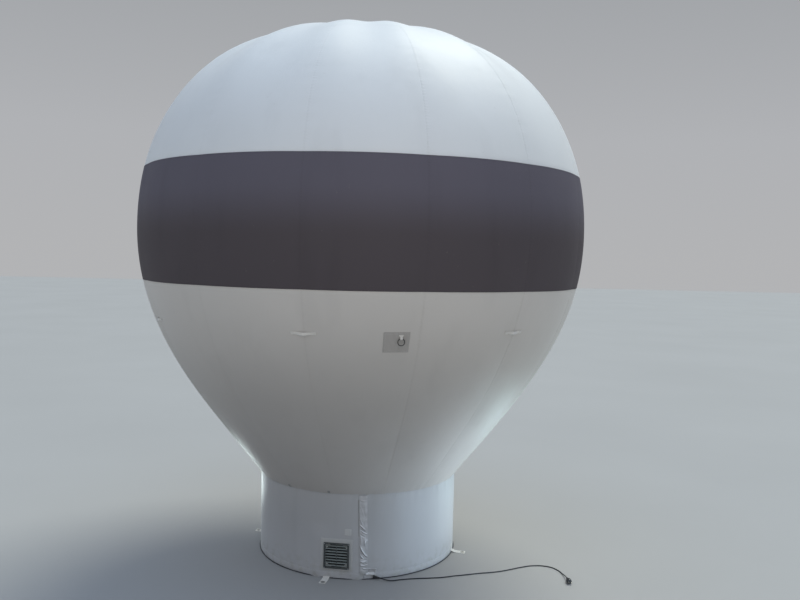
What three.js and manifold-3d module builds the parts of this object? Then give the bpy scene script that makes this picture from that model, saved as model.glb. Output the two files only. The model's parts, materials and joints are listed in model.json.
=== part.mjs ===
// A ground-standing advertising balloon: a hot-air-balloon shape of sewn gores on a round
// skirt, kept up by a blower that draws air in through a louvred grille in the skirt's wall.
// Millimetres, +Z up, origin on the floor at the middle of the base. The front faces -Y.
// An azimuth is counted from the front towards +X, so a point at azimuth a and radius r
// lies at (r sin a, -r cos a).
import * as THREE from 'three'
import { mergeVertices } from 'three/addons/utils/BufferGeometryUtils.js'
import Module from 'manifold-3d'

const wasm = await Module()
wasm.setup()

// Driving dimensions of the envelope
const SKIRT_R = 800
const SKIRT_TOP = 635
const WIDEST_R = 1765
const WIDEST_Z = 2585
const TOTAL_H = 4200
const BAND_LOW = 2182
const BAND_HIGH = 3025
const CROWN_R = 170
const WALL = 10

// The gap between two pieces, how far joined shapes run into each other, and how far a shape
// that is cut to the wall, or cuts it, reaches past it
const GAP = 0.3
const OVERLAP = 5
const WALL_REACH = 60

// Handles of the two curves that make the envelope's side: below and above the widest place
const FLARE_ANGLE = THREE.MathUtils.degToRad(35.8)
const FLARE_REACH = 730
const BELLY_REACH = 849
const DOME_REACH = 948
const CROWN_REACH = 1209

// Gores and the facets that each has across
const GORES = 14
const FACETS = 4
const STEP = (2 * Math.PI) / (GORES * FACETS)
const GORE_ANGLE = STEP * FACETS
const LOWER_ROWS = 10
const BAND_LOWER_ROWS = 3
const BAND_UPPER_ROWS = 2
const DOME_ROWS = 9
const CROWN_ROWS = 3

// Sides of wide and of small round shapes
const SIDES = 32
const SMALL_SIDES = 16

// Air inlet in the skirt's wall, and the fan and blower behind it
const INLET_AZIMUTH = THREE.MathUtils.degToRad(-10.8)
const INLET_Z = 177
const PATCH_SIDE = 240
const PATCH_RISE = 6
const PATCH_FRONT = 806
const GRILLE_SIDE = 192
const GRILLE_OPENING = 168
const GRILLE_DEPTH = 14
const SLATS = 8
const SLAT_DEPTH = 13
const SLAT_THICK = 2.4
const SLAT_TILT = THREE.MathUtils.degToRad(38)
const RIB_WIDTH = 7
const RIB_INSET = 4
const DUCT_R = 92
const DUCT_BORE_R = 84
const BLOWER_FRONT = 690
const BLOWER_WIDTH = 300
const BLOWER_DEPTH = 300
const BLOWER_TOP = 340
const SHAFT_R = 12
const FAN_BACK = 739
const FAN_DEPTH = 30
const HUB_R = 30
const BLADE_TIP_R = 76
const BLADES = 7
const BLADE_CHORD = 32
const BLADE_THICK = 4
const BLADE_PITCH = THREE.MathUtils.degToRad(35)

// Cover flap of the entry zip, on the facet just right of the front
const FLAP_AZIMUTH = STEP / 2
const FLAP_LOW = 45
const FLAP_HIGH = 630
const FLAP_WIDTH = 60
const FLAP_THICK = 5
const FLAP_LEAN = 14

// Tether point: a doubled square of cloth, a webbing tab on it and a steel ring
const TETHER_AZIMUTH = THREE.MathUtils.degToRad(7.8)
const TETHER_Z = 1858
const TETHER_WIDTH = 168
const TETHER_HEIGHT = 144
const TETHER_THICK = 4
const RING_AZIMUTH = THREE.MathUtils.degToRad(8.778)
const RING_Z = 1888
const RING_R = 22
const RING_WIRE_R = 3
const RING_STANDOFF = 14
const RING_STEPS = 28
const WIRE_SIDES = 8
const TAB_BORE_R = 5.2
const TAB_WIDTH = 17
const TAB_WALL = 3
const TAB_TAIL = 22

// Webbing loops round the lower envelope, one on every other seam
const LOOPS = GORES / 2
const LOOP_FIRST = -GORE_ANGLE / 2
const LOOP_Z = 1905
const LOOP_HALF = 82
const LOOP_ARCH_HALF = 56
const LOOP_RISE = 12
const LOOP_STEPS = 12
const WEB_HEIGHT = 20
const WEB_THICK = 3

// Anchor tabs at the hem, and the rope in the hem
const TABS = 4
const TAB_FIRST = -2.5 * STEP
const ANCHOR_REACH = 112
const ANCHOR_WIDTH = 50
const ANCHOR_UP = 62
const ANCHOR_THICK = 3
const ANCHOR_BEND = 14
const ANCHOR_FOOT = 40
const EYELET_R = 10
const EYELET_INSET = 22
const ROPE_R = 4
const ROPE_SIDES = 6

// Mains lead, from its boot at the hem to its plug on the floor
const CORD_R = 4
const CORD_SIDES = 8
const CORD_STEP = 24
const BOOT_AZIMUTH = 1.5 * STEP
const BOOT_TURN = THREE.MathUtils.degToRad(52)
const BOOT_LENGTH = 40
const BOOT_R = 9
const BOOT_TIP_R = 6
const BOOT_Z = 18
const BOOT_STANDOFF = 10
const BOOT_ROOT = 27
const PLUG_R = 18.5
const PLUG_Z = 19
const PLUG_LENGTH = 38
const PLUG_TAIL = 40
const PLUG_TAIL_R = 15.5
const PIN_R = 2.4
const PIN_LENGTH = 19
const PIN_SPACING = 19
const PIN_SIDES = 10

// Outline of the envelope, as radius and height
const belly = new THREE.CubicBezierCurve(
  new THREE.Vector2(SKIRT_R, SKIRT_TOP),
  new THREE.Vector2(
    SKIRT_R + FLARE_REACH * Math.sin(FLARE_ANGLE),
    SKIRT_TOP + FLARE_REACH * Math.cos(FLARE_ANGLE)
  ),
  new THREE.Vector2(WIDEST_R, WIDEST_Z - BELLY_REACH),
  new THREE.Vector2(WIDEST_R, WIDEST_Z)
)
const dome = new THREE.CubicBezierCurve(
  new THREE.Vector2(WIDEST_R, WIDEST_Z),
  new THREE.Vector2(WIDEST_R, WIDEST_Z + DOME_REACH),
  new THREE.Vector2(CROWN_REACH, TOTAL_H),
  new THREE.Vector2(0, TOTAL_H)
)

// The parameter at which a value that grows along a curve reaches a target
const HALVINGS = 50
function parameterAt(curve, value, target) {
  let low = 0
  let high = 1
  for (let i = 0; i < HALVINGS; i++) {
    const middle = (low + high) / 2
    if (value(curve.getPoint(middle)) < target) low = middle
    else high = middle
  }
  return (low + high) / 2
}
const heightOf = (p) => p.y
const inwards = (p) => -p.x
const LOWER_END = parameterAt(belly, heightOf, BAND_LOW)
const DOME_START = parameterAt(dome, heightOf, BAND_HIGH)
const DOME_END = parameterAt(dome, inwards, -CROWN_R)

// Rows along a curve: each holds the point and the outward normal, as radius and height
function rowsAlong(curve, from, to, count) {
  return Array.from({ length: count + 1 }, (_, i) => {
    const t = from + ((to - from) * i) / count
    const point = curve.getPoint(t)
    const along = curve.getTangent(t)
    return { r: point.x, z: point.y, nr: along.y, nz: -along.x }
  })
}

// The same rows, with both ends drawn in by half the gap between two pieces
function drawnIn(rows, start = GAP / 2, end = GAP / 2) {
  const moved = rows.map((row) => ({ ...row }))
  const first = moved[0]
  const last = moved[moved.length - 1]
  first.r -= first.nz * start
  first.z += first.nr * start
  last.r += last.nz * end
  last.z -= last.nr * end
  return moved
}

const lowerRows = rowsAlong(belly, 0, LOWER_END, LOWER_ROWS)
const bandRows = [
  ...rowsAlong(belly, LOWER_END, 1, BAND_LOWER_ROWS).slice(0, -1),
  ...rowsAlong(dome, 0, DOME_START, BAND_UPPER_ROWS)
]
const domeRows = rowsAlong(dome, DOME_START, DOME_END, DOME_ROWS)
const crownRows = rowsAlong(dome, DOME_END, 1, CROWN_ROWS)

// A mesh made of faces given by their corners; corners at one place become one vertex
class Faces {
  constructor() {
    this.points = []
    this.index = []
    this.known = new Map()
  }

  corner(p) {
    const key = p.map((c) => Math.round(c * 1e4)).join(' ')
    if (!this.known.has(key)) {
      this.known.set(key, this.points.length / 3)
      this.points.push(...p)
    }
    return this.known.get(key)
  }

  add(...corners) {
    const [a, ...rest] = corners.map((p) => this.corner(p))
    for (let i = 0; i + 1 < rest.length; i++) {
      const [b, c] = [rest[i], rest[i + 1]]
      if (a !== b && b !== c && c !== a) this.index.push(a, b, c)
    }
  }

  geometry() {
    const g = new THREE.BufferGeometry()
    g.setAttribute('position', new THREE.Float32BufferAttribute(this.points, 3))
    g.setIndex(this.index)
    g.computeVertexNormals()
    return g
  }
}

function place(r, azimuth, z) {
  return [r * Math.sin(azimuth), -r * Math.cos(azimuth), z]
}

// How much nearer the axis a facet's plane is at an azimuth than the corners of the grid are
function facetFactor(azimuth) {
  const past = azimuth - Math.floor(azimuth / STEP + 1e-6) * STEP
  return Math.cos(STEP / 2) / Math.cos(past - STEP / 2)
}

// A shell that follows rows of the outline between two azimuths, thick towards the inside.
// The azimuths lie on the grid of facets; side is the gap left at each vertical edge.
function shell(rows, azimuths, thick, side, closed = false) {
  const faces = new Faces()
  const last = azimuths.length - 1
  const at = (i, j, depth) => {
    const row = rows[i]
    const r = Math.max(row.r - row.nr * depth, 0)
    const turn = r > 1 ? side / r : 0
    const shift = closed ? 0 : j === 0 ? turn : j === last ? -turn : 0
    const azimuth = azimuths[j] + shift
    return place(r * facetFactor(azimuth), azimuth, row.z - row.nz * depth)
  }
  const top = rows.length - 1
  for (let j = 0; j < last; j++) {
    for (let i = 0; i < top; i++) {
      faces.add(at(i, j, 0), at(i, j + 1, 0), at(i + 1, j + 1, 0), at(i + 1, j, 0))
      faces.add(at(i, j, thick), at(i + 1, j, thick), at(i + 1, j + 1, thick), at(i, j + 1, thick))
    }
    faces.add(at(0, j, 0), at(0, j, thick), at(0, j + 1, thick), at(0, j + 1, 0))
    faces.add(at(top, j, 0), at(top, j + 1, 0), at(top, j + 1, thick), at(top, j, thick))
  }
  if (!closed) {
    for (let i = 0; i < top; i++) {
      faces.add(at(i, 0, 0), at(i + 1, 0, 0), at(i + 1, 0, thick), at(i, 0, thick))
      faces.add(at(i, last, 0), at(i, last, thick), at(i + 1, last, thick), at(i + 1, last, 0))
    }
  }
  return faces.geometry()
}

function gridAzimuths(from, count) {
  return Array.from({ length: count + 1 }, (_, i) => from + i * STEP)
}
const allRound = gridAzimuths(0, GORES * FACETS)

function solidOf(geometry) {
  const g = geometry.clone()
  g.deleteAttribute('normal')
  g.deleteAttribute('uv')
  const merged = mergeVertices(g, 1e-4)
  return new wasm.Manifold(
    new wasm.Mesh({
      numProp: 3,
      vertProperties: new Float32Array(merged.attributes.position.array),
      triVerts: new Uint32Array(merged.index.array)
    })
  )
}

function geometryOf(solid) {
  const mesh = solid.getMesh()
  const g = new THREE.BufferGeometry()
  g.setAttribute('position', new THREE.BufferAttribute(mesh.vertProperties, 3))
  g.setIndex(new THREE.BufferAttribute(mesh.triVerts, 1))
  g.computeVertexNormals()
  return g
}

// What the skirt and lower envelope enclose, grown outwards by a distance. Pieces that lie on
// the wall are cut with it, so that they follow the facets.
function insideOf(grow) {
  const floor = { r: SKIRT_R, z: -WALL_REACH, nr: 1, nz: 0 }
  const join = { r: SKIRT_R, z: SKIRT_TOP, nr: 1, nz: 0 }
  const grown = [floor, join, ...lowerRows.slice(1)].map((row) => ({
    r: row.r + row.nr * grow,
    z: row.z + row.nz * grow
  }))
  const faces = new Faces()
  const top = grown.length - 1
  const at = (i, j) => place(grown[i].r, allRound[j], grown[i].z)
  const foot = [0, 0, grown[0].z]
  const head = [0, 0, grown[top].z]
  for (let j = 0; j + 1 < allRound.length; j++) {
    for (let i = 0; i < top; i++) {
      faces.add(at(i, j), at(i, j + 1), at(i + 1, j + 1), at(i + 1, j))
    }
    faces.add(foot, at(0, j + 1), at(0, j))
    faces.add(head, at(top, j), at(top, j + 1))
  }
  return solidOf(faces.geometry())
}
const wallFace = insideOf(GAP)

// A box between two corners, as a geometry: x to the right, -y outwards, z up
function boxBetween(low, high) {
  const size = high.map((h, i) => h - low[i])
  const g = new THREE.BoxGeometry(...size)
  g.translate(...high.map((h, i) => (h + low[i]) / 2))
  return g
}

// A cylinder along the outward direction of azimuth 0, between two distances from the axis
function outwardCylinder(radius, from, to, z, sides = SIDES) {
  const g = new THREE.CylinderGeometry(radius, radius, to - from, sides)
  g.translate(0, -(from + to) / 2, z)
  return g
}

const group = new THREE.Group()

function addMesh(name, geometry, colour, roughness = 0.8, metalness = 0) {
  const material = new THREE.MeshStandardMaterial({ color: colour, roughness, metalness })
  const mesh = new THREE.Mesh(geometry, material)
  mesh.name = name
  group.add(mesh)
  return mesh
}

const WHITE = 0xc9cdd2
const DIM_WHITE = 0x9b9e9f
const CHARCOAL = 0x433f45
const BLACK = 0x17171a
const GREY = 0x3a3d40
const STEEL = 0x9a9da0

// Envelope

function addGores(prefix, rows, colour) {
  for (let k = 0; k < GORES; k++) {
    const start = (k - 0.5) * GORE_ANGLE
    const name = `${prefix}_${String(k + 1).padStart(2, '0')}`
    addMesh(name, shell(drawnIn(rows), gridAzimuths(start, FACETS), WALL, GAP / 2), colour)
  }
}

function addEnvelope() {
  addGores('dome_gore', domeRows, WHITE)
  addMesh('band', shell(drawnIn(bandRows), allRound, WALL, 0, true), CHARCOAL)
  addGores('lower_gore', lowerRows, DIM_WHITE)
  addMesh('crown_disc', shell(drawnIn(crownRows, GAP / 2, 0), allRound, WALL, 0, true), WHITE)
}

// Skirt, its floor and the rope in its hem

function ductHole() {
  const hole = outwardCylinder(DUCT_R + GAP, SKIRT_R - WALL_REACH, SKIRT_R + WALL_REACH, INLET_Z)
  return solidOf(hole.rotateZ(INLET_AZIMUTH))
}

function addSkirt() {
  const rows = [0, SKIRT_TOP - GAP / 2].map((z) => ({ r: SKIRT_R, z, nr: 1, nz: 0 }))
  const half = (GORES * FACETS) / 2
  const zip = FLAP_AZIMUTH
  const grid = Array.from({ length: half }, (_, i) => (i + 1) * STEP)
  const right = [zip, ...grid, zip + Math.PI]
  const left = right.map((a) => a + Math.PI)
  addMesh('skirt_right', shell(rows, right, WALL, GAP / 2), DIM_WHITE)
  const leftPanel = solidOf(shell(rows, left, WALL, GAP / 2)).subtract(ductHole())
  addMesh('skirt_left', geometryOf(leftPanel), DIM_WHITE)

  const outline = new THREE.Shape(
    allRound.slice(0, -1).map((a) => {
      const [x, y] = place(SKIRT_R - WALL - GAP, a, 0)
      return new THREE.Vector2(x, y)
    })
  )
  const disc = new THREE.ExtrudeGeometry(outline, { depth: WALL, bevelEnabled: false })
  addMesh('base_floor', disc, DIM_WHITE)

  const rope = new THREE.TorusGeometry(SKIRT_R + GAP + ROPE_R, ROPE_R, ROPE_SIDES, GORES * FACETS)
  rope.rotateZ(-Math.PI / 2)
  rope.translate(0, 0, ROPE_R + GAP)
  addMesh('hem_rope', rope, CHARCOAL)
}

// Air inlet: cloth patch, louvred grille, duct, fan wheel and blower

function addInlet() {
  const half = PATCH_SIDE / 2
  const middle = INLET_Z + PATCH_RISE
  const patch = boxBetween(
    [-half, -PATCH_FRONT, middle - half],
    [half, -(SKIRT_R - WALL_REACH), middle + half]
  )
  const seated = solidOf(patch.rotateZ(INLET_AZIMUTH)).subtract(wallFace).subtract(ductHole())
  addMesh('inlet_patch', geometryOf(seated), WHITE)

  const back = PATCH_FRONT + GAP
  const front = back + GRILLE_DEPTH
  const outer = GRILLE_SIDE / 2
  const inner = GRILLE_OPENING / 2
  const frame = boxBetween([-outer, -front, INLET_Z - outer], [outer, -back, INLET_Z + outer])
  const opening = boxBetween(
    [-inner, -front - OVERLAP, INLET_Z - inner],
    [inner, -back + OVERLAP, INLET_Z + inner]
  )
  const rib = boxBetween(
    [-RIB_WIDTH / 2, -front + RIB_INSET, INLET_Z - inner - OVERLAP],
    [RIB_WIDTH / 2, -back, INLET_Z + inner + OVERLAP]
  )
  let grille = solidOf(frame).subtract(solidOf(opening)).add(solidOf(rib))
  const pitch = GRILLE_OPENING / SLATS
  for (let i = 0; i < SLATS; i++) {
    const slat = new THREE.BoxGeometry(GRILLE_OPENING + 2 * OVERLAP, SLAT_DEPTH, SLAT_THICK)
    slat.rotateX(SLAT_TILT)
    slat.translate(0, -(back + front) / 2, INLET_Z - inner + (i + 0.5) * pitch)
    grille = grille.add(solidOf(slat))
  }
  addMesh('inlet_grille', geometryOf(grille), GREY, 0.5).rotation.z = INLET_AZIMUTH

  const ductBack = BLOWER_FRONT + GAP
  const wall = [
    [DUCT_BORE_R, ductBack],
    [DUCT_R, ductBack],
    [DUCT_R, PATCH_FRONT],
    [DUCT_BORE_R, PATCH_FRONT],
    [DUCT_BORE_R, ductBack]
  ].map(([r, y]) => new THREE.Vector2(r, -y))
  const duct = new THREE.LatheGeometry(wall.reverse(), SIDES)
  duct.translate(0, 0, INLET_Z)
  addMesh('inlet_duct', duct, BLACK, 0.6).rotation.z = INLET_AZIMUTH

  const block = boxBetween(
    [-BLOWER_WIDTH / 2, -BLOWER_FRONT, WALL + GAP],
    [BLOWER_WIDTH / 2, -(BLOWER_FRONT - BLOWER_DEPTH), BLOWER_TOP]
  )
  const shaft = outwardCylinder(SHAFT_R, BLOWER_FRONT - OVERLAP, FAN_BACK - GAP, INLET_Z, SMALL_SIDES)
  const blower = solidOf(block).add(solidOf(shaft))
  addMesh('blower', geometryOf(blower), BLACK, 0.6).rotation.z = INLET_AZIMUTH
}

function addFanWheel() {
  const middle = FAN_BACK + FAN_DEPTH / 2
  const root = HUB_R - OVERLAP
  let wheel = solidOf(outwardCylinder(HUB_R, FAN_BACK, FAN_BACK + FAN_DEPTH, 0))
  for (let i = 0; i < BLADES; i++) {
    const blade = new THREE.BoxGeometry(BLADE_CHORD, BLADE_THICK, BLADE_TIP_R - root)
    blade.rotateZ(BLADE_PITCH)
    blade.translate(0, -middle, (BLADE_TIP_R + root) / 2)
    blade.rotateY((i / BLADES) * 2 * Math.PI)
    wheel = wheel.add(solidOf(blade))
  }
  const mesh = addMesh('fan_wheel', geometryOf(wheel), BLACK, 0.5)
  mesh.position.z = INLET_Z
  mesh.rotation.z = INLET_AZIMUTH
}

// Zip cover flap, flat on its facet, its foot drawn a little to the right

function addZipFlap() {
  const half = FLAP_WIDTH / 2
  const outline = new THREE.Shape([
    new THREE.Vector2(-half - FLAP_LEAN / 2, FLAP_HIGH),
    new THREE.Vector2(-half + FLAP_LEAN / 2, FLAP_LOW),
    new THREE.Vector2(half + FLAP_LEAN / 2, FLAP_LOW),
    new THREE.Vector2(half - FLAP_LEAN / 2, FLAP_HIGH)
  ])
  const flap = new THREE.ExtrudeGeometry(outline, { depth: FLAP_THICK, bevelEnabled: false })
  flap.rotateX(Math.PI / 2)
  flap.translate(0, -(SKIRT_R * Math.cos(STEP / 2) + GAP), 0)
  addMesh('zip_flap', flap, WHITE).rotation.z = FLAP_AZIMUTH
}

// A frame on the envelope's wall at a height: x to the right, y into the wall, z up the wall
function wallFrame(azimuth, z, onSeam) {
  const t = parameterAt(belly, heightOf, z)
  const point = belly.getPoint(t)
  const along = belly.getTangent(t)
  const lean = Math.atan2(along.x, along.y)
  const r = onSeam ? point.x : point.x * Math.cos(STEP / 2)
  return new THREE.Matrix4()
    .makeRotationZ(azimuth)
    .multiply(new THREE.Matrix4().makeTranslation(0, -r, z))
    .multiply(new THREE.Matrix4().makeRotationX(lean))
}

// Webbing loops: sewn down at both ends, standing off the wall between

function webbingLoop(azimuth) {
  const bow = (x) => {
    const share = Math.abs(x) / LOOP_ARCH_HALF
    return LOOP_RISE * (0.5 + 0.5 * Math.cos(Math.PI * share))
  }
  const arch = Array.from({ length: LOOP_STEPS + 1 }, (_, i) => {
    return LOOP_ARCH_HALF * ((2 * i) / LOOP_STEPS - 1)
  })
  const heel = LOOP_ARCH_HALF + GAP
  const outline = new THREE.Shape([
    new THREE.Vector2(-LOOP_HALF, OVERLAP),
    new THREE.Vector2(-heel, OVERLAP),
    ...arch.map((x) => new THREE.Vector2(x, -bow(x))),
    new THREE.Vector2(heel, OVERLAP),
    new THREE.Vector2(LOOP_HALF, OVERLAP),
    new THREE.Vector2(LOOP_HALF, -WEB_THICK),
    ...arch.map((x) => new THREE.Vector2(-x, -bow(x) - WEB_THICK)),
    new THREE.Vector2(-LOOP_HALF, -WEB_THICK)
  ])
  const web = new THREE.ExtrudeGeometry(outline, { depth: WEB_HEIGHT, bevelEnabled: false })
  web.translate(0, 0, -WEB_HEIGHT / 2)
  web.applyMatrix4(wallFrame(azimuth, LOOP_Z, true))
  return geometryOf(solidOf(web).subtract(wallFace))
}

function addLoops() {
  for (let k = 0; k < LOOPS; k++) {
    const azimuth = LOOP_FIRST + 2 * k * GORE_ANGLE
    addMesh(`webbing_loop_${k + 1}`, webbingLoop(azimuth), WHITE)
  }
}

// Tether point

function addTether() {
  const region = boxBetween(
    [-TETHER_WIDTH / 2, -WIDEST_R, TETHER_Z - TETHER_HEIGHT / 2],
    [TETHER_WIDTH / 2, -SKIRT_R, TETHER_Z + TETHER_HEIGHT / 2]
  )
  region.rotateZ(TETHER_AZIMUTH)
  const skin = insideOf(GAP + TETHER_THICK).subtract(wallFace)
  addMesh('tether_patch', geometryOf(skin.intersect(solidOf(region))), DIM_WHITE)

  const frame = wallFrame(RING_AZIMUTH, RING_Z, false)
  const crossing = (radius, width) => {
    const g = new THREE.CylinderGeometry(radius, radius, width, SMALL_SIDES)
    g.rotateZ(Math.PI / 2)
    return solidOf(g.translate(0, -RING_STANDOFF, 0))
  }
  const tail = boxBetween(
    [-TAB_WIDTH / 2, -RING_STANDOFF + TAB_BORE_R, 0],
    [TAB_WIDTH / 2, OVERLAP, TAB_TAIL]
  )
  const tab = crossing(TAB_BORE_R + TAB_WALL, TAB_WIDTH)
    .add(solidOf(tail))
    .subtract(crossing(TAB_BORE_R, TAB_WIDTH + OVERLAP))
    .transform(frame.elements)
    .subtract(insideOf(2 * GAP + TETHER_THICK))
  addMesh('tether_tab', geometryOf(tab), WHITE)

  const pivot = new THREE.Vector3(0, -RING_STANDOFF, 0).applyMatrix4(frame)
  const ring = new THREE.TorusGeometry(RING_R, RING_WIRE_R, WIRE_SIDES, RING_STEPS)
  ring.rotateX(Math.PI / 2)
  ring.translate(0, 0, -RING_R)
  const mesh = addMesh('tether_ring', ring, STEEL, 0.35, 0.9)
  mesh.position.copy(pivot)
  mesh.rotation.z = RING_AZIMUTH
}

// Anchor tabs: webbing sewn to the wall, bent out over the hem rope to an eyelet on the ground

function addAnchorTabs() {
  const face = SKIRT_R * Math.cos(STEP / 2) + GAP
  const over = 2 * (ROPE_R + GAP)
  const tip = SKIRT_R + ANCHOR_REACH
  const mitre = 1
  const outline = new THREE.Shape([
    new THREE.Vector2(face, over + GAP),
    new THREE.Vector2(face + ANCHOR_BEND, over + GAP),
    new THREE.Vector2(face + ANCHOR_FOOT, 0),
    new THREE.Vector2(tip, 0),
    new THREE.Vector2(tip, ANCHOR_THICK),
    new THREE.Vector2(face + ANCHOR_FOOT + mitre, ANCHOR_THICK),
    new THREE.Vector2(face + ANCHOR_BEND + mitre, over + GAP + ANCHOR_THICK),
    new THREE.Vector2(face + ANCHOR_THICK, over + GAP + ANCHOR_THICK),
    new THREE.Vector2(face + ANCHOR_THICK, ANCHOR_UP),
    new THREE.Vector2(face, ANCHOR_UP)
  ])
  const strap = new THREE.ExtrudeGeometry(outline, { depth: ANCHOR_WIDTH, bevelEnabled: false })
  strap.rotateX(Math.PI / 2)
  strap.rotateZ(-Math.PI / 2)
  strap.translate(ANCHOR_WIDTH / 2, 0, 0)
  const eyelet = new THREE.CylinderGeometry(EYELET_R, EYELET_R, WALL_REACH, SMALL_SIDES)
  eyelet.rotateX(Math.PI / 2)
  eyelet.translate(0, -(tip - EYELET_INSET), 0)
  const tab = geometryOf(solidOf(strap).subtract(solidOf(eyelet)))
  for (let k = 0; k < TABS; k++) {
    addMesh(`anchor_tab_${k + 1}`, tab.clone(), WHITE).rotation.z = TAB_FIRST + (k * Math.PI) / 2
  }
}

// Mains lead. The route runs on the floor, from the boot round to the plug.

const bootBase = place(SKIRT_R * Math.cos(STEP / 2) + BOOT_STANDOFF, BOOT_AZIMUTH, BOOT_Z)
const bootWay = [Math.sin(BOOT_AZIMUTH + BOOT_TURN), -Math.cos(BOOT_AZIMUTH + BOOT_TURN)]
const alongBoot = (d, z) => [bootBase[0] + bootWay[0] * d, bootBase[1] + bootWay[1] * d, z]
const CORD_Z = CORD_R + GAP

// Points of the lead's middle, x, y and z, from the boot's tip to the back of the plug
const CORD_ROUTE = [
  alongBoot(BOOT_LENGTH + 2 * GAP, BOOT_Z),
  alongBoot(BOOT_LENGTH + 10, BOOT_Z),
  alongBoot(BOOT_LENGTH + 26, 15.5),
  [252, -838, 8],
  [322, -812, CORD_Z],
  [430, -790, CORD_Z],
  [548, -779, CORD_Z],
  [640, -766, CORD_Z],
  [730, -738, CORD_Z],
  [819, -716, CORD_Z],
  [940, -684, CORD_Z],
  [1020, -668, CORD_Z],
  [1101, -645, CORD_Z],
  [1190, -606, CORD_Z],
  [1272, -566, CORD_Z],
  [1355, -535, CORD_Z],
  [1440, -531, CORD_Z],
  [1515, -565, CORD_Z],
  [1556, -630, CORD_Z],
  [1569, -690, 6],
  [1573, -735, 13],
  [1574, -770, PLUG_Z - 0.6],
  [1575, -800, PLUG_Z]
]

function addLead() {
  const bootFrame = new THREE.Matrix4()
    .makeTranslation(...bootBase)
    .multiply(new THREE.Matrix4().makeRotationZ(BOOT_AZIMUTH + BOOT_TURN))
  const taper = new THREE.CylinderGeometry(BOOT_R, BOOT_TIP_R, BOOT_LENGTH, SMALL_SIDES)
  taper.translate(0, -BOOT_LENGTH / 2, 0)
  taper.applyMatrix4(bootFrame)
  const root = new THREE.CylinderGeometry(BOOT_R, BOOT_R, BOOT_ROOT + OVERLAP, SMALL_SIDES)
  root.translate(0, (BOOT_ROOT - OVERLAP) / 2, 0)
  root.applyMatrix4(bootFrame)
  const boot = solidOf(taper).add(solidOf(root)).subtract(wallFace)
  addMesh('cord_boot', geometryOf(boot), BLACK, 0.7)

  const path = new THREE.CatmullRomCurve3(CORD_ROUTE.map((p) => new THREE.Vector3(...p)))
  const section = new THREE.Shape(
    Array.from({ length: CORD_SIDES }, (_, i) => {
      const a = ((i + 0.5) / CORD_SIDES) * 2 * Math.PI
      return new THREE.Vector2(CORD_R * Math.cos(a), CORD_R * Math.sin(a))
    })
  )
  const steps = Math.round(path.getLength() / CORD_STEP)
  const tube = new THREE.ExtrudeGeometry(section, { steps, extrudePath: path, bevelEnabled: false })
  addMesh('mains_lead', tube, BLACK, 0.6)

  const end = path.getPoint(1)
  const way = path.getTangent(1)
  const face = PLUG_TAIL + PLUG_LENGTH
  const body = new THREE.CylinderGeometry(PLUG_R, PLUG_R, PLUG_LENGTH, SIDES)
  body.translate(0, -(PLUG_TAIL + PLUG_LENGTH / 2), 0)
  const tail = new THREE.CylinderGeometry(BOOT_TIP_R, PLUG_TAIL_R, PLUG_TAIL, SMALL_SIDES)
  tail.translate(0, -PLUG_TAIL / 2, 0)
  let plug = solidOf(body).add(solidOf(tail))
  for (const side of [-1, 1]) {
    const pin = new THREE.CylinderGeometry(PIN_R, PIN_R, PIN_LENGTH + OVERLAP, PIN_SIDES)
    pin.translate((side * PIN_SPACING) / 2, -(face + (PIN_LENGTH - OVERLAP) / 2), 0)
    plug = plug.add(solidOf(pin))
  }
  const mesh = addMesh('mains_plug', geometryOf(plug), BLACK, 0.5)
  mesh.position.set(end.x + way.x * 2 * GAP, end.y + way.y * 2 * GAP, PLUG_Z)
  mesh.rotation.z = Math.atan2(way.x, -way.y)
}

addEnvelope()
addSkirt()
addInlet()
addFanWheel()
addZipFlap()
addLoops()
addTether()
addAnchorTabs()
addLead()

export default group
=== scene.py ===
# The looks of a ground-standing advertising balloon: sewn gores on a round skirt, with a louvred
# air inlet, a zip, webbing loops, a tether ring, anchor tabs and a mains lead.
# Metres, +Z up, origin on the floor at the middle of the base. An azimuth is counted from the
# front, which faces -Y, towards +X.
import json
from functools import partial, reduce
from math import atan2, cos, pi, radians, sin, sqrt

import bmesh
import bpy
import numpy as np
from mathutils import Matrix, Vector

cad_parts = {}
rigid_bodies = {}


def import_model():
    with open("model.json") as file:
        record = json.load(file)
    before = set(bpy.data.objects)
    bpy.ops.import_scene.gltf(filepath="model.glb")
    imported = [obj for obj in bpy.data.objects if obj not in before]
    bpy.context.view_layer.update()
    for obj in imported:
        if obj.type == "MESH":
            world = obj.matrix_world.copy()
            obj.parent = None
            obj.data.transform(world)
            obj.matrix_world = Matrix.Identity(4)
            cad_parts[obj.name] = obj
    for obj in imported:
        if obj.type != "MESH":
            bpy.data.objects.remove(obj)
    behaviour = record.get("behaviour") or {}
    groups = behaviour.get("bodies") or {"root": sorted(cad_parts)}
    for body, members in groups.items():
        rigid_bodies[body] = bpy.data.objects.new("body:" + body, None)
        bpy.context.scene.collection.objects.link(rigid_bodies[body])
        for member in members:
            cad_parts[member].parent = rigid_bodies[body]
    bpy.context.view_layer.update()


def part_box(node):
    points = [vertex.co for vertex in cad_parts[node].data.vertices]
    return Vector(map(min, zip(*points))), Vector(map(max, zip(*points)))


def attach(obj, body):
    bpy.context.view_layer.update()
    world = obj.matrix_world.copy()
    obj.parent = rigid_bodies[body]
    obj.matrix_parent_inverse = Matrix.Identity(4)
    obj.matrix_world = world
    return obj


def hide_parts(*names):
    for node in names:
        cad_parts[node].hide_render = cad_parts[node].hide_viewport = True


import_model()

random = np.random.default_rng(7)
CIRCLE = 2 * pi

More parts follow.
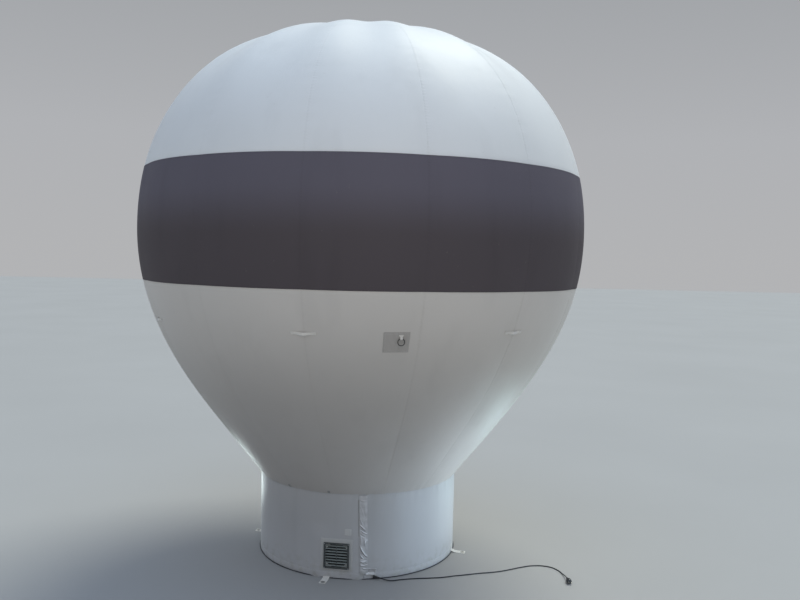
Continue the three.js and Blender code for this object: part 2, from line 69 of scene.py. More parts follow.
# Envelope, as in the solids
SKIRT_R = 0.8
SKIRT_TOP = 0.635
FLOOR_R = 0.7897
WIDEST_R = 1.765
WIDEST_Z = 2.585
TOTAL_H = 4.2
BAND_LOW = 2.182
BAND_HIGH = 3.025
CROWN_R = 0.17
FLARE_ANGLE = radians(35.8)
FLARE_REACH = 0.73
BELLY_REACH = 0.849
DOME_REACH = 0.948
CROWN_REACH = 1.209
GORES = 14
GORE_ANGLE = CIRCLE / GORES
FACET = GORE_ANGLE / 4

# Cloth: its thickness, its lapped seams and how it bellies between them
CLOTH = 0.0016
LAP = 0.014
LAP_RISE = 0.0005
TUCK = 0.01
TUCK_DEPTH = 0.0035
BULGE = 0.006
SEAM_IN = 0.002
FLATNESS = 0.78
PUCKER = 0.0008
PUCKER_REACH = 0.075

# Air inlet
INLET_AZIMUTH = radians(-10.8)
INLET_Z = 0.177
PATCH_HALF = 0.12
PATCH_RISE = 0.006
PATCH_FRONT = 0.806
SKIRT_HOLE_HALF = 0.104
DUCT_R = 0.092
DUCT_BORE_R = 0.084
DUCT_BACK = 0.6903
GRILLE_HALF = 0.096
GRILLE_OPENING_HALF = 0.084
GRILLE_DEPTH = 0.014
SLATS = 8
SLAT_TILT = radians(38)
FAN_BACK = 0.739
FAN_DEPTH = 0.03
BLADES = 7
BLADE_ROOT = 0.026
BLADE_TIP = 0.0755
BLADE_REACH = 0.05

# Zip cover
FLAP_AZIMUTH = FACET / 2
FLAP_LOW = 0.045
FLAP_HIGH = 0.63
FLAP_WIDTH = 0.06
FLAP_LEAN = 0.014
FLAP_CUT = 0.62
TAPE_LOW = 0.33
TAPE_HIGH = 0.6
TAPE_WIDTH = 0.0111

# Tether point
TETHER_AZIMUTH = radians(7.8)
TETHER_Z = 1.858
TETHER_WIDTH = 0.168
TETHER_HEIGHT = 0.144
RING_AZIMUTH = radians(8.778)
RING_R = 0.022
RING_WIRE_R = 0.003
RING_STANDOFF = 0.014
TAB_TAIL = 0.022
TAB_WIDTH = 0.017

# Webbing loops and anchor tabs
LOOPS = 7
LOOP_Z = 1.905
LOOP_HALF = 0.082
LOOP_ARCH_HALF = 0.056
LOOP_RISE = 0.012
LOOP_LEAN = radians(30)
WEB_WIDTH = 0.02
WEB_THICK = 0.0026
ANCHORS = 4
ANCHOR_FIRST = -2.5 * FACET
ANCHOR_TIP = SKIRT_R + 0.112
ANCHOR_WIDTH = 0.05
ANCHOR_UP = 0.062
EYELET_R = 0.01
EYELET_AT = ANCHOR_TIP - 0.022
ROPE_R = 0.004
ROPE_RING_R = SKIRT_R + 0.0043
STRAND_R = 0.00205
STRAND_LAY = 0.0019
HEM_STITCHES = (0.0445, 0.0505)

# Mains lead
LEAD_R = 0.004
LEAD_LIE = 0.0043
BOOT_AZIMUTH = 1.5 * FACET
BOOT_TURN = radians(52)
BOOT_LENGTH = 0.04
BOOT_Z = 0.018

PLUG_Z = 0.019


# The camera, where the photograph was taken from

CAMERA_PLACE = Vector((0.0, -6.613, 2.403))
CAMERA_YAW = radians(2.713)
CAMERA_PITCH = radians(-3.169)
CAMERA_ROLL = radians(1.314)


def linked(name, data):
    """A new object of the scene."""
    obj = bpy.data.objects.new(name, data)
    bpy.context.scene.collection.objects.link(obj)
    return obj


def make_camera():
    data = bpy.data.cameras.new("camera")
    data.sensor_width = data.lens = 36
    data.clip_end = 200
    flat = cos(CAMERA_PITCH)
    ahead = Vector((sin(CAMERA_YAW) * flat, cos(CAMERA_YAW) * flat, sin(CAMERA_PITCH)))
    right = Vector((cos(CAMERA_YAW), -sin(CAMERA_YAW), 0))
    turn = Matrix.Rotation(-CAMERA_ROLL, 3, ahead)
    matrix = Matrix((turn @ right, turn @ right.cross(ahead), -ahead)).transposed().to_4x4()
    matrix.translation = CAMERA_PLACE
    camera = linked("camera", data)
    camera.matrix_world = matrix
    bpy.context.scene.camera = camera


# Meshes


def stacked(*values):
    """Grids of x, y and z as one grid of points."""
    return np.stack(np.broadcast_arrays(*values), -1)


def place(r, azimuth, z):
    return stacked(r * np.sin(azimuth), -r * np.cos(azimuth), z)


def angles(count):
    """Even steps round a circle."""
    return np.arange(count) / count * CIRCLE


def smooth(low, high, value):
    t = np.clip((value - low) / (high - low), 0, 1)
    return t * t * (3 - 2 * t)


def bell(offset, width):
    """1 in the middle, falling to 0 on both sides."""
    return np.exp(-((offset / width) ** 2))


def unit(vectors):
    return vectors / np.maximum(np.linalg.norm(vectors, axis=-1, keepdims=True), 1e-12)


def distances(path):
    """How far along a path each of its points is."""
    return np.concatenate([[0], np.cumsum(np.linalg.norm(np.diff(path, axis=0), axis=1))])


def follow(places, keys, values):
    """Rows of values at some places, between the rows given at the keys."""
    return np.stack([np.interp(places, keys, column) for column in values.T], -1)


def cornered(corners, samples):
    """Points on straight lines from corner to corner, as all their x and all their y."""
    count = len(corners)
    return follow(np.linspace(0, count - 1, samples), np.arange(count), np.array(corners)).T


def rectangle(x, low, high, samples):
    return cornered([(-x, low), (x, low), (x, high), (-x, high), (-x, low)], samples)


def vertex_normals(points, quads):
    corners = points[quads]
    face = np.cross(corners[:, 2] - corners[:, 0], corners[:, 3] - corners[:, 1])
    total = np.zeros_like(points)
    for k in range(4):
        np.add.at(total, quads[:, k], face)
    return unit(total)


def quad_mesh(name, points, quads, maps=None, weld=False, sharp=40):
    """A mesh of quads. maps holds a pair of numbers a point for each named UV map."""
    mesh = bpy.data.meshes.new(name)
    corners = quads.ravel().astype(np.int32)
    mesh.vertices.add(len(points))
    mesh.vertices.foreach_set("co", np.asarray(points, np.float32).ravel())
    mesh.loops.add(len(corners))
    mesh.loops.foreach_set("vertex_index", corners)
    mesh.polygons.add(len(quads))
    mesh.polygons.foreach_set("loop_start", np.arange(0, len(corners), 4, dtype=np.int32))
    mesh.polygons.foreach_set("use_smooth", np.ones(len(quads), bool))
    mesh.update(calc_edges=True)
    for label, values in (maps or {}).items():
        layer = mesh.uv_layers.new(name=label)
        layer.data.foreach_set("uv", np.asarray(values, np.float32)[corners].ravel())
    if weld:
        soft = bmesh.new()
        soft.from_mesh(mesh)
        bmesh.ops.remove_doubles(soft, verts=soft.verts, dist=1e-6)
        wires = [edge for edge in soft.edges if edge.is_wire]
        bmesh.ops.delete(soft, geom=wires, context="EDGES")
        bmesh.ops.recalc_face_normals(soft, faces=soft.faces)
        soft.to_mesh(mesh)
        soft.free()
    mesh.validate()
    mesh.set_sharp_from_angle(angle=radians(sharp))
    return mesh


def grid_quads(rows, cols, wrap, close=False):
    """Quads of a grid; wrap joins its last column to its first, and close its last row."""
    index = np.arange(rows * cols).reshape(rows, cols)
    if close:
        index = np.vstack([index, index[:1]])
    if wrap:
        index = np.hstack([index, index[:, :1]])
    corners = index[:-1, :-1], index[:-1, 1:], index[1:, 1:], index[1:, :-1]
    return np.stack(corners, -1).reshape(-1, 4)


def sheet_mesh(name, points, thick=CLOTH, maps=None, wrap=False, hole=None, weld=False, sharp=40):
    """A closed thin sheet: points is its outer face as rows and columns, hole tells which of its
    quads to leave out."""
    rows, cols = points.shape[:2]
    quads = grid_quads(rows, cols, wrap)
    flat = points.reshape(-1, 3)
    count = len(flat)
    if hole is not None:
        quads = quads[~hole(flat[quads].mean(1))]
    inner = flat - vertex_normals(flat, quads) * thick
    if weld:
        inner[-cols:] = inner[-cols:].mean(0)
    start = quads.ravel()
    end = np.roll(quads, -1, 1).ravel()
    lone = ~np.isin(start * count + end, end * count + start)
    start, end = start[lone], end[lone]
    rim = np.stack([end, start, start + count, end + count], -1)
    every = np.vstack([quads, quads[:, ::-1] + count, rim])
    used, inverse = np.unique(every, return_inverse=True)
    uv = {label: np.vstack([m.reshape(-1, 2)] * 2)[used] for label, m in (maps or {}).items()}
    return quad_mesh(name, np.vstack([flat, inner])[used], inverse.reshape(-1, 4), uv, weld, sharp)


def add(name, data, material, body="balloon", replaced=()):
    obj = linked(name, data)
    obj.data.materials.append(material)
    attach(obj, body)
    if replaced:
        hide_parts(*replaced)
    return obj


def cloth_maps(u, v, side, end, painted_light=None):
    """UV maps of a cloth: a place along its threads, the distances from a seam at its side and at
    its end, and the painted light and shade over its creases."""
    values = np.broadcast_arrays(u, v, side, end)
    maps = {"cloth": np.stack(values[:2], -1), "edges": np.stack(values[2:], -1)}
    if painted_light is not None:
        maps["creases"] = np.stack([painted_light, 0 * painted_light], -1)
    return maps


def add_sheet(name, points, maps, material, slot, flat, rests_on, replaced=(), area=None,
              held="stretched", **form):
    """A piece of cloth, made as a closed thin sheet."""
    obj = add(name, sheet_mesh(name, points, maps=maps, **form), material, replaced=replaced)


def moved(points, matrix):
    m = np.array(matrix)
    return np.asarray(points) @ m[:3, :3].T + m[:3, 3]


def lathe_mesh(name, profile, matrix, sides):
    """A closed solid of (radius, distance) pairs turned about the outward axis of azimuth 0. The
    profile starts and ends on the axis, or closes on itself."""
    r, out = np.asarray(profile, float).T[..., None]
    turn = angles(sides)
    points = stacked(r * np.cos(turn), -out, r * np.sin(turn))
    points = moved(points.reshape(-1, 3), matrix)
    return quad_mesh(name, points, grid_quads(len(profile), sides, True), weld=True, sharp=35)


def hardened(name, soft):
    """A mesh of a bmesh, which is freed."""
    mesh = bpy.data.meshes.new(name)
    soft.to_mesh(mesh)
    soft.free()
    return mesh


def add_joined(name, parts, material, body="balloon", replaced=(), sharp=40):
    """One piece made of several meshes."""
    whole = bmesh.new()
    for part in parts:
        whole.from_mesh(part)
        bpy.data.meshes.remove(part)
    mesh = hardened(name, whole)
    mesh.set_sharp_from_angle(angle=radians(sharp))
    return add(name, mesh, material, body, replaced)


def boxed(low, high, bevel, matrix):
    """A box with rounded edges."""
    soft = bmesh.new()
    bmesh.ops.create_cube(soft, size=1)
    low, high = Vector(low), Vector(high)
    for v in soft.verts:
        v.co = Vector((low[i] + (v.co[i] + 0.5) * (high[i] - low[i]) for i in range(3)))
    bmesh.ops.bevel(soft, geom=soft.edges, offset=bevel, segments=2, affect="EDGES", profile=0.5)
    bmesh.ops.transform(soft, matrix=matrix, verts=soft.verts)
    mesh = hardened("part", soft)
    mesh.polygons.foreach_set("use_smooth", np.ones(len(mesh.polygons), bool))
    return mesh


# Outline of the envelope and the faces of its cloth


def bezier(a, b, c, d, t):
    a, b, c, d = (np.asarray(p, float) for p in (a, b, c, d))
    return a * (1 - t) ** 3 + 3 * b * t * (1 - t) ** 2 + 3 * c * t**2 * (1 - t) + d * t**3


class Outline:
    """The envelope's side, as radius and height along its length from the skirt to the crown."""

    def __init__(self):
        t = np.linspace(0, 1, 700)[:, None]
        widest = [WIDEST_R, WIDEST_Z]
        flare_x, flare_z = FLARE_REACH * sin(FLARE_ANGLE), FLARE_REACH * cos(FLARE_ANGLE)
        flare = [SKIRT_R + flare_x, SKIRT_TOP + flare_z]
        belly = bezier([SKIRT_R, SKIRT_TOP], flare, [WIDEST_R, WIDEST_Z - BELLY_REACH], widest, t)
        dome = bezier(widest, [WIDEST_R, WIDEST_Z + DOME_REACH], [CROWN_REACH, TOTAL_H], [0, TOTAL_H], t)
        points = np.vstack([belly, dome[1:]])
        steps = np.hypot(*np.diff(points, axis=0).T)
        self.s = np.concatenate([[0], np.cumsum(steps)])
        self.r, self.z = points.T
        along = np.gradient(points, self.s, axis=0)
        along /= np.linalg.norm(along, axis=1, keepdims=True)
        self.nr, self.nz = along[:, 1], -along[:, 0]
        self.length = self.s[-1]

    def at(self, s):
        return [np.interp(s, self.s, v) for v in (self.r, self.z, self.nr, self.nz)]

    def at_height(self, z):
        return float(np.interp(z, self.z, self.s))

    def near_crown(self, r):
        top = self.s > self.at_height(WIDEST_Z)
        return float(np.interp(-r, -self.r[top], self.s[top]))


outline = Outline()
S_BAND_LOW = outline.at_height(BAND_LOW)
S_BAND_HIGH = outline.at_height(BAND_HIGH)
S_CROWN = outline.near_crown(CROWN_R)
S_FLAT = outline.near_crown(1.0)
SEAM_PHASES = random.uniform(0, CIRCLE, (GORES, 4))
DENT_WAVES = random.normal(0, 1, (7, 3)) * 5.5
DENT_PHASES = random.uniform(0, CIRCLE, 7)
# Waves round the cloth: how many go round, and where each starts
WAIST = (37, 46, 59, 71, 83), random.uniform(0, CIRCLE, 5)
FOLDS = (3, 5, 8, 11, 14), random.uniform(0, CIRCLE, 5)
HEM = (19, 27, 38, 53, 66), random.uniform(0, CIRCLE, 5)


def ripples(azimuth, waves):
    numbers, phases = waves
    return np.sin(azimuth[..., None] * numbers + phases).sum(-1) / sqrt(len(numbers))


def dents(points):
    return np.sin(points @ DENT_WAVES.T + DENT_PHASES).sum(-1) / sqrt(len(DENT_PHASES))


def relief(azimuth, across, s, r, z):
    """How far the cloth stands out from the outline. across runs from -1 to 1 between two seams."""
    from_seam = (1 - np.abs(across)) * (r * GORE_ANGLE / 2)
    flat = FLATNESS * smooth(S_BAND_HIGH - 0.1, S_FLAT, s)
    sag = r * (1 - cos(GORE_ANGLE / 2))
    belly = smooth(0.0, 0.4, s) * (1 - flat / FLATNESS)
    out = belly * (BULGE * (1 - np.abs(across) ** 2.2) - SEAM_IN)
    out = out - flat * sag * (0.5 + 0.5 * np.cos(pi * across))
    phase = SEAM_PHASES[np.rint(azimuth / GORE_ANGLE - 0.5).astype(int) % GORES]
    wave = 0.6 * np.sin(s * CIRCLE / 0.097 + phase[..., 0] + 1.3 * np.sin(s * 5 + phase[..., 3]))
    wave = wave + 0.4 * np.sin(s * CIRCLE / 0.141 + phase[..., 1])
    wave = wave * (0.6 + 0.4 * np.sin(s * 2.3 + phase[..., 2]))
    out = out + PUCKER * wave * bell(from_seam, PUCKER_REACH) * smooth(0, 0.1, r)
    out = out + 0.0016 * ripples(azimuth, WAIST) * np.exp(-s / 0.07)
    out = out - 0.004 * bell(s, 0.03)
    return out + 0.0011 * dents(place(r, azimuth, z)) * smooth(0, 0.3, s)


def skin(azimuth, s, proud, across=None):
    """Points on the envelope's outer face, or a little above it."""
    azimuth, s = np.broadcast_arrays(azimuth, s)
    r, z, nr, nz = outline.at(s)
    if across is None:
        turns = azimuth / GORE_ANGLE + 0.5
        across = 2 * (turns - np.floor(turns)) - 1
    out = relief(azimuth, across, s, r, z) + proud
    return place(r + nr * out, azimuth, z + nz * out)


def skirt_skin(azimuth, z, proud):
    """Points on the skirt's outer face; it flattens round the inlet."""
    azimuth, z = np.broadcast_arrays(azimuth, z)
    down = SKIRT_TOP - z
    r = SKIRT_R - 0.0005 + 0.0012 * ripples(azimuth + 0.05 * z, FOLDS) * smooth(0, 0.1, z)
    r = r + 0.0011 * ripples(azimuth, HEM) * np.exp(-z / 0.05) * smooth(0, 0.012, z)
    r = r + 0.0014 * ripples(azimuth, WAIST) * np.exp(-down / 0.06) - 0.004 * bell(down, 0.03)
    r = r + 0.0015 * bell(z - 0.024, 0.016) - 0.001 * bell(z - 0.047, 0.006)
    turn = azimuth - INLET_AZIMUTH
    turn = turn - CIRCLE * np.rint(turn / CIRCLE)
    aside = np.abs(r * np.sin(turn))
    above = np.abs(z - INLET_Z - PATCH_RISE)
    reach = smooth(0.25, 0.115, aside) * smooth(0.25, 0.118, above) * (np.abs(turn) < 1)
    plane = (PATCH_FRONT - CLOTH) / np.cos(np.where(np.abs(turn) < 1, turn, 0))
    r = r + (plane - r) * reach + proud
    return place(r, azimuth, z)


# Materials


def tint(colour, share):
    return tuple(np.array(colour) * share)


class Shader:
    """The nodes of one material. An input takes a number or colour, or another node's output."""

    def __init__(self, name):
        self.material = bpy.data.materials.new(name)
        self.material.use_nodes = True
        self.tree = self.material.node_tree
        self.tree.nodes.clear()
        self.place = self.add("TexCoord").outputs["Object"]

    def add(self, kind, inputs=(), **settings):
        node = self.tree.nodes.new("ShaderNode" + kind)
        for key, value in settings.items():
            setattr(node, key, value)
        for key, value in dict(inputs).items():
            self.feed(node.inputs[key], value)
        return node

    def feed(self, socket, value):
        if isinstance(value, bpy.types.NodeSocket):
            self.tree.links.new(value, socket)
        elif hasattr(value, "__len__") and len(value) == 3 and len(socket.default_value) == 4:
            socket.default_value = (*value, 1)
        else:
            socket.default_value = value

    def math(self, operation, *values):
        return self.add("Math", enumerate(values), operation=operation).outputs[0]

    def total(self, *values):
        return reduce(partial(self.math, "ADD"), values)

    def times(self, *values):
        return reduce(partial(self.math, "MULTIPLY"), values)

    def span(self, value, low, high):
        inputs = {"Value": value, "From Min": low, "From Max": high}
        return self.add("MapRange", inputs, interpolation_type="SMOOTHSTEP").outputs["Result"]

    def mix(self, share, a, b):
        return self.add("Mix", {0: share, 6: a, 7: b}, data_type="RGBA").outputs[2]

    def scaled(self, vector, x, y, z):
        return self.add("VectorMath", {0: vector, 1: (x, y, z)}, operation="MULTIPLY").outputs[0]

    def noise(self, scale, detail, vector=None):
        inputs = {"Vector": vector or self.place, "Scale": scale, "Detail": detail}
        return self.add("TexNoise", inputs).outputs["Fac"]

    def split(self, vector):
        return self.add("SeparateXYZ", {0: vector}).outputs

    def uv(self, name):
        return self.split(self.add("UVMap", uv_map=name).outputs[0])

    def wave(self, value, period):
        return self.math("SINE", self.math("MULTIPLY", value, CIRCLE / period))

    def row(self, distance, at, width):
        """1 on a line at a distance, 0 beyond its width."""
        off = self.math("ABSOLUTE", self.math("SUBTRACT", distance, at))
        return self.span(off, width, width * 0.5)

    def bump(self, height):
        return self.add("Bump", {"Height": height, "Distance": 1.0, "Strength": 1.0}).outputs[0]

    def finish(self, colour, roughness, height=None, **constants):
        shader = self.add("BsdfPrincipled", {"Base Color": colour, "Roughness": roughness})
        for key, value in constants.items():
            self.feed(shader.inputs[key.replace("_", " ").title().replace("Ior", "IOR")], value)
        if height is not None:
            self.tree.links.new(self.bump(height), shader.inputs["Normal"])
        output = self.add("OutputMaterial")
        self.tree.links.new(shader.outputs[0], output.inputs[0])
        return self.material


THREAD_ROWS = (0.0042, 0.0108)
THREAD_PITCH = 0.0055
DUST = (0.36, 0.35, 0.30)


def stitched(shader, distance, along):
    """Two rows of thread beside a seam: 1 on a stitch and 0 between."""
    rows = [shader.row(distance, at, 0.0011) for at in THREAD_ROWS]
    part = shader.math("FRACT", shader.math("DIVIDE", along, THREAD_PITCH))
    dash = shader.row(part, 0.5, 0.46)
    return shader.times(shader.math("MAXIMUM", *rows), dash)


def cloth_material(name, colour, roughness=0.5, mottle=0.06, sheen=0.1, gloss=0.4, upper=None,
                   grade=(0, 1), painted_crease_light=False):
    """Coated woven cloth with lapped, double-stitched seams, faint creases and dust near the ground.
    Its colour may change to an upper one between the two heights of grade. With painted crease
    light on, its tone is scaled by its UV map of creases: painted light and shade."""
    sh = Shader(name)
    upper = upper or colour
    u, v, _ = sh.uv("cloth")
    side, end, _ = sh.uv("edges")
    height = sh.split(sh.place)[2]
    clouds = sh.span(sh.noise(0.8, 4), 0.35, 0.65)
    streaks = sh.span(sh.noise(1, 3, sh.scaled(sh.place, 5, 5, 0.7)), 0.5, 0.8)
    shade = sh.times(sh.total(clouds, streaks), 0.5)
    rise = sh.span(height, *grade)
    clean = sh.mix(rise, colour, upper)
    shaded = sh.mix(rise, *(tint(c, 1 - mottle * 2) for c in (colour, upper)))
    tone = sh.mix(shade, clean, shaded)
    thread = sh.math("MAXIMUM", stitched(sh, side, v), stitched(sh, end, u))
    tone = sh.mix(sh.times(thread, 0.3), tone, tint(colour, 0.72))
    if painted_crease_light:
        # Painted light and shade from the creases map
        painted_light = sh.total(0.5, sh.times(sh.uv("creases")[0], 1.05))
        tone = sh.add("VectorMath", {0: tone, "Scale": painted_light}, operation="SCALE").outputs[0]
    fall = sh.span(height, 0.3, 0.0)
    grains = sh.span(sh.noise(23, 6), 0.42, 0.7)
    dust = sh.times(fall, fall, grains, 0.45)
    specks = sh.times(sh.span(sh.noise(38, 2), 0.72, 0.8), 0.12)
    tone = sh.mix(sh.total(dust, specks), tone, DUST)
    near_side = sh.span(side, 0.045, 0.0)
    near_end = sh.span(end, 0.04, 0.0)
    wander = sh.times(sh.noise(9, 2), 0.07)
    gathers = sh.math("MAXIMUM", sh.times(near_side, sh.wave(sh.total(v, wander), 0.023)),
                      sh.times(near_end, sh.wave(sh.total(u, wander), 0.019)))
    threads = sh.times(sh.wave(u, 0.0011), sh.wave(v, 0.0011), 0.00008)
    creases = sh.times(sh.noise(6, 5, sh.scaled(sh.place, 1, 1, 0.45)), 0.0022)
    lift = sh.total(threads, creases, sh.times(gathers, 0.0006), sh.times(thread, 0.0004))
    rough = sh.total(roughness - 0.06, sh.times(sh.noise(3.5, 5), 0.12))
    return sh.finish(tone, rough, lift, specular_ior_level=gloss, sheen_weight=sheen, sheen_roughness=0.5)


def webbing_material(name, colour):
    """Woven strap: a herringbone of coarse yarns with ribbed edges."""
    sh = Shader(name)
    u, v, _ = sh.uv("cloth")
    side, _, _ = sh.uv("edges")
    skew = sh.math("ABSOLUTE", sh.math("SUBTRACT", sh.math("FRACT", sh.math("DIVIDE", u, 0.006)), 0.5))
    twill = sh.wave(sh.total(v, sh.times(skew, 0.006)), 0.0021)
    ribs = sh.times(sh.span(side, 0.003, 0.002), sh.wave(v, 0.0014))
    grime = sh.span(sh.noise(30, 4), 0.4, 0.75)
    yarn = sh.times(sh.total(twill, 1.0), 0.5)
    tone = sh.mix(yarn, tint(colour, 0.78), colour)
    tone = sh.mix(sh.times(grime, 0.12), tone, tint(DUST, 0.9))
    lift = sh.times(sh.total(twill, ribs), 0.00022)
    return sh.finish(tone, 0.72, lift, sheen_weight=0.5, sheen_roughness=0.4, specular_ior_level=0.3)


def thread_material():
    sh = Shader("thread")
    twist = sh.noise(900, 1)
    tone = sh.mix(twist, (0.55, 0.56, 0.57), (0.78, 0.78, 0.78))
    return sh.finish(tone, 0.55, sh.times(twist, 0.0002), sheen_weight=0.3)


def plastic_material(name, colour, roughness=0.42):
    """Moulded plastic with a fine grain and patches of dust."""
    sh = Shader(name)
    dust = sh.times(sh.span(sh.noise(45, 6), 0.45, 0.75), 0.3)
    tone = sh.mix(dust, colour, tint(DUST, 0.6))
    rough = sh.total(roughness, sh.times(sh.noise(60, 4), 0.2))
    return sh.finish(tone, rough, sh.times(sh.noise(900, 2), 0.00012), specular_ior_level=0.5)


def metal_material(name, colour, roughness=0.3):
    sh = Shader(name)
    brushed = sh.noise(140, 4, sh.scaled(sh.place, 1, 1, 6))
    rust = sh.times(sh.span(sh.noise(160, 5), 0.6, 0.78), 0.35)
    tone = sh.mix(brushed, tint(colour, 0.8), colour)
    tone = sh.mix(rust, tone, (0.2, 0.12, 0.07))
    rough = sh.total(roughness - 0.08, sh.times(brushed, 0.25))
    return sh.finish(tone, rough, sh.times(brushed, 0.0001), metallic=1.0)


def rubber_material(name, colour, dusty=0.35):
    sh = Shader(name)
    smears = sh.span(sh.noise(26, 5), 0.4, 0.75)
    tone = sh.mix(sh.times(smears, dusty), colour, tint(DUST, 0.5))
    rough = sh.total(0.42, sh.times(smears, 0.25))
    return sh.finish(tone, rough, sh.times(sh.noise(420, 3), 0.0002), specular_ior_level=0.5)


# The hem rope is real, but its near-black tone also paints the shadow line along the skirt's foot.
def rope_material():
    sh = Shader("rope")
    fibres = sh.noise(500, 3, sh.scaled(sh.place, 1, 1, 4))
    tone = sh.mix(fibres, (0.018, 0.02, 0.026), (0.06, 0.064, 0.075))
    return sh.finish(tone, 0.8, sh.times(fibres, 0.0008), sheen_weight=0.3)


WHITE = cloth_material("white_cloth", (0.863, 0.882, 0.896), mottle=0.045)
# The lower gores and the base floor: the white cloth darkened as painted shade, darkest towards the bottom.
LOWER_SHADED = cloth_material("lower_cloth", (0.502, 0.471, 0.442), mottle=0.04,
                       upper=(0.686, 0.648, 0.61), grade=(1.3, 2.2))
# The skirt's cloth turns darker towards its top: painted shade under the envelope.
SKIRT = cloth_material("skirt_cloth", (0.535, 0.535, 0.546),
                       upper=(0.464, 0.464, 0.472), grade=(0.0, 0.45))
# The band turns lighter and bluer towards its top: a painted reflection of the sky.
DARK = cloth_material("dark_cloth", (0.103, 0.0885, 0.097), roughness=0.65, mottle=0.05, sheen=0.0,
                      gloss=0.1, upper=(0.145, 0.134, 0.165), grade=(2.5, 2.86))
TRIM = cloth_material("trim_cloth", (0.77, 0.785, 0.80), roughness=0.6)
# The zip cover: painted light and shade on its crinkles come through its creases map.
FLAP = cloth_material("flap_cloth", (0.52, 0.515, 0.525), roughness=0.32, gloss=0.8, painted_crease_light=True)
INLET_CLOTH = cloth_material("inlet_cloth", (0.57, 0.57, 0.56), roughness=0.55)
PATCH = cloth_material("patch_cloth", (0.46, 0.43, 0.405), roughness=0.6)
# Dark cloth for the zip's tape and for the patches at the seam ends, dark to paint shade.
SHADE_TAPE = cloth_material("shade_tape_cloth", (0.30, 0.30, 0.29), roughness=0.6)
WEB = webbing_material("webbing", (0.93, 0.89, 0.83))
THREAD = thread_material()
GRILLE = plastic_material("grille_plastic", (0.062, 0.07, 0.07))
# The slats: the same moulding as the frame, given a lighter tone as painted light.
SLATS_LIT_PLASTIC = plastic_material("slat_plastic_lit", (0.23, 0.255, 0.245))
BLADES_PLASTIC = plastic_material("fan_plastic", (0.03, 0.032, 0.034))
CASE = plastic_material("blower_case", (0.02, 0.021, 0.024), roughness=0.5)
BLACK = rubber_material("black_rubber", (0.014, 0.014, 0.015))
LEAD = rubber_material("lead_sheath", (0.006, 0.008, 0.012), 0.08)
STEEL = metal_material("ring_steel", (0.55, 0.56, 0.57))
DARK_STEEL = metal_material("eyelet_metal", (0.42, 0.40, 0.36), 0.4)
# Steel darker than the plain steel, for the tether ring.
RING_STEEL = metal_material("dark_ring_steel", (0.10, 0.10, 0.095), 0.42)
BRASS = metal_material("plug_contacts", (0.72, 0.68, 0.6), 0.25)
ROPE = rope_material()


# Threads


def stitch_quads():
    quads = [[4 * k + a, 4 * k + 4 + a, 4 * k + 4 + (a + 1) % 4, 4 * k + (a + 1) % 4]
             for k in range(4) for a in range(4)]
    return np.array(quads + [[0, 1, 2, 3], [19, 18, 17, 16]])


def thread_mesh(name, lines, pitch=0.006, length=0.0046, radius=0.0006):
    """Stitches along lines. Each line is its points and its outward normal, or one for each point."""
    spans = np.array([-0.5, -0.3, 0.0, 0.3, 0.5]) * length
    girth = np.array([0.25, 0.85, 1.0, 0.85, 0.25]) * radius
    lift = np.array([-0.6, 0.2, 0.6, 0.2, -0.6]) * radius
    turn = pi / 4 + np.arange(4) * pi / 2
    points = []
    for line, normals in lines:
        s = distances(line)
        stations = np.arange(pitch / 2, s[-1], pitch)
        way = unit(follow(stations + 1e-3, s, line) - follow(stations - 1e-3, s, line))
        up = follow(stations, s, np.broadcast_to(normals, line.shape))
        up = unit(up - way * (up * way).sum(1, keepdims=True))
        way, up, aside = (v[:, None, None] for v in (way, up, np.cross(way, up)))
        ring = aside * np.cos(turn)[:, None] + up * np.sin(turn)[:, None]
        along = way * spans[:, None, None] + up * lift[:, None, None]
        middle = follow(stations, s, line)[:, None, None]
        points.append((middle + along + ring * girth[:, None, None]).reshape(-1, 3))
    points = np.vstack(points)
    starts = np.arange(len(points) // 20) * 20
    return quad_mesh(name, points, (starts[:, None, None] + stitch_quads()).reshape(-1, 4), sharp=80)


def add_threads(name, lines, slot="trim_cloth", **sizes):
    add(name, thread_mesh(name, lines, **sizes), THREAD)


# Envelope

ACROSS_HALF = np.array([0, 0.018, 0.036, 0.055, 0.09, 0.14, 0.2, 0.28, 0.38, 0.5, 0.64, 0.82])
ACROSS = np.concatenate([ACROSS_HALF - 1, [0.0], 1 - ACROSS_HALF[::-1]])


def row_places(low, high, count):
    """Rows of a panel, with tucked rows beyond an end that lies under its neighbour."""
    s = np.append(np.linspace(low, high, count + 1)[:-1], [high + 0.0005, high + TUCK])
    proud = np.append(np.zeros(count), [-TUCK_DEPTH * 0.7, -TUCK_DEPTH])
    if low > 0:
        s = np.append([low - TUCK, low - 0.0005], s[1:])
        proud = np.append([-TUCK_DEPTH, -TUCK_DEPTH * 0.7], proud[1:])
    return s[:, None], proud[:, None]


def lapped(distance, blur=0.003):
    """The rise of a lapped seam, at a distance from a panel's edge."""
    return LAP_RISE * smooth(LAP + blur, LAP - blur, distance)


def panel(middle, low, high, rows):
    """One gore's grid of points, and its UV maps."""
    s, proud = row_places(low, high, rows)
    r = outline.at(s)[0]
    across = np.append(ACROSS, 1.0) + 0 * s
    azimuth = middle + across * GORE_ANGLE / 2
    side = (1 + across) * r * GORE_ANGLE / 2
    rise = proud + lapped(side)
    azimuth[:, -1] += TUCK / r[:, 0]
    rise[:, -1] -= TUCK_DEPTH
    end = np.minimum(np.abs(s - low), np.abs(high - s)) + 0.02
    return skin(azimuth, s, rise, across), cloth_maps(r * (azimuth - middle), s, side, end)


def flat_size(low, high):
    """Greatest width, length and area of the cloth of one gore."""
    s = np.linspace(low, high, 200)
    width = outline.at(s)[0] * GORE_ANGLE
    area = ((width[1:] + width[:-1]) / 2 * np.diff(s)).sum()
    return float(width.max()), float(high - low), float(area)


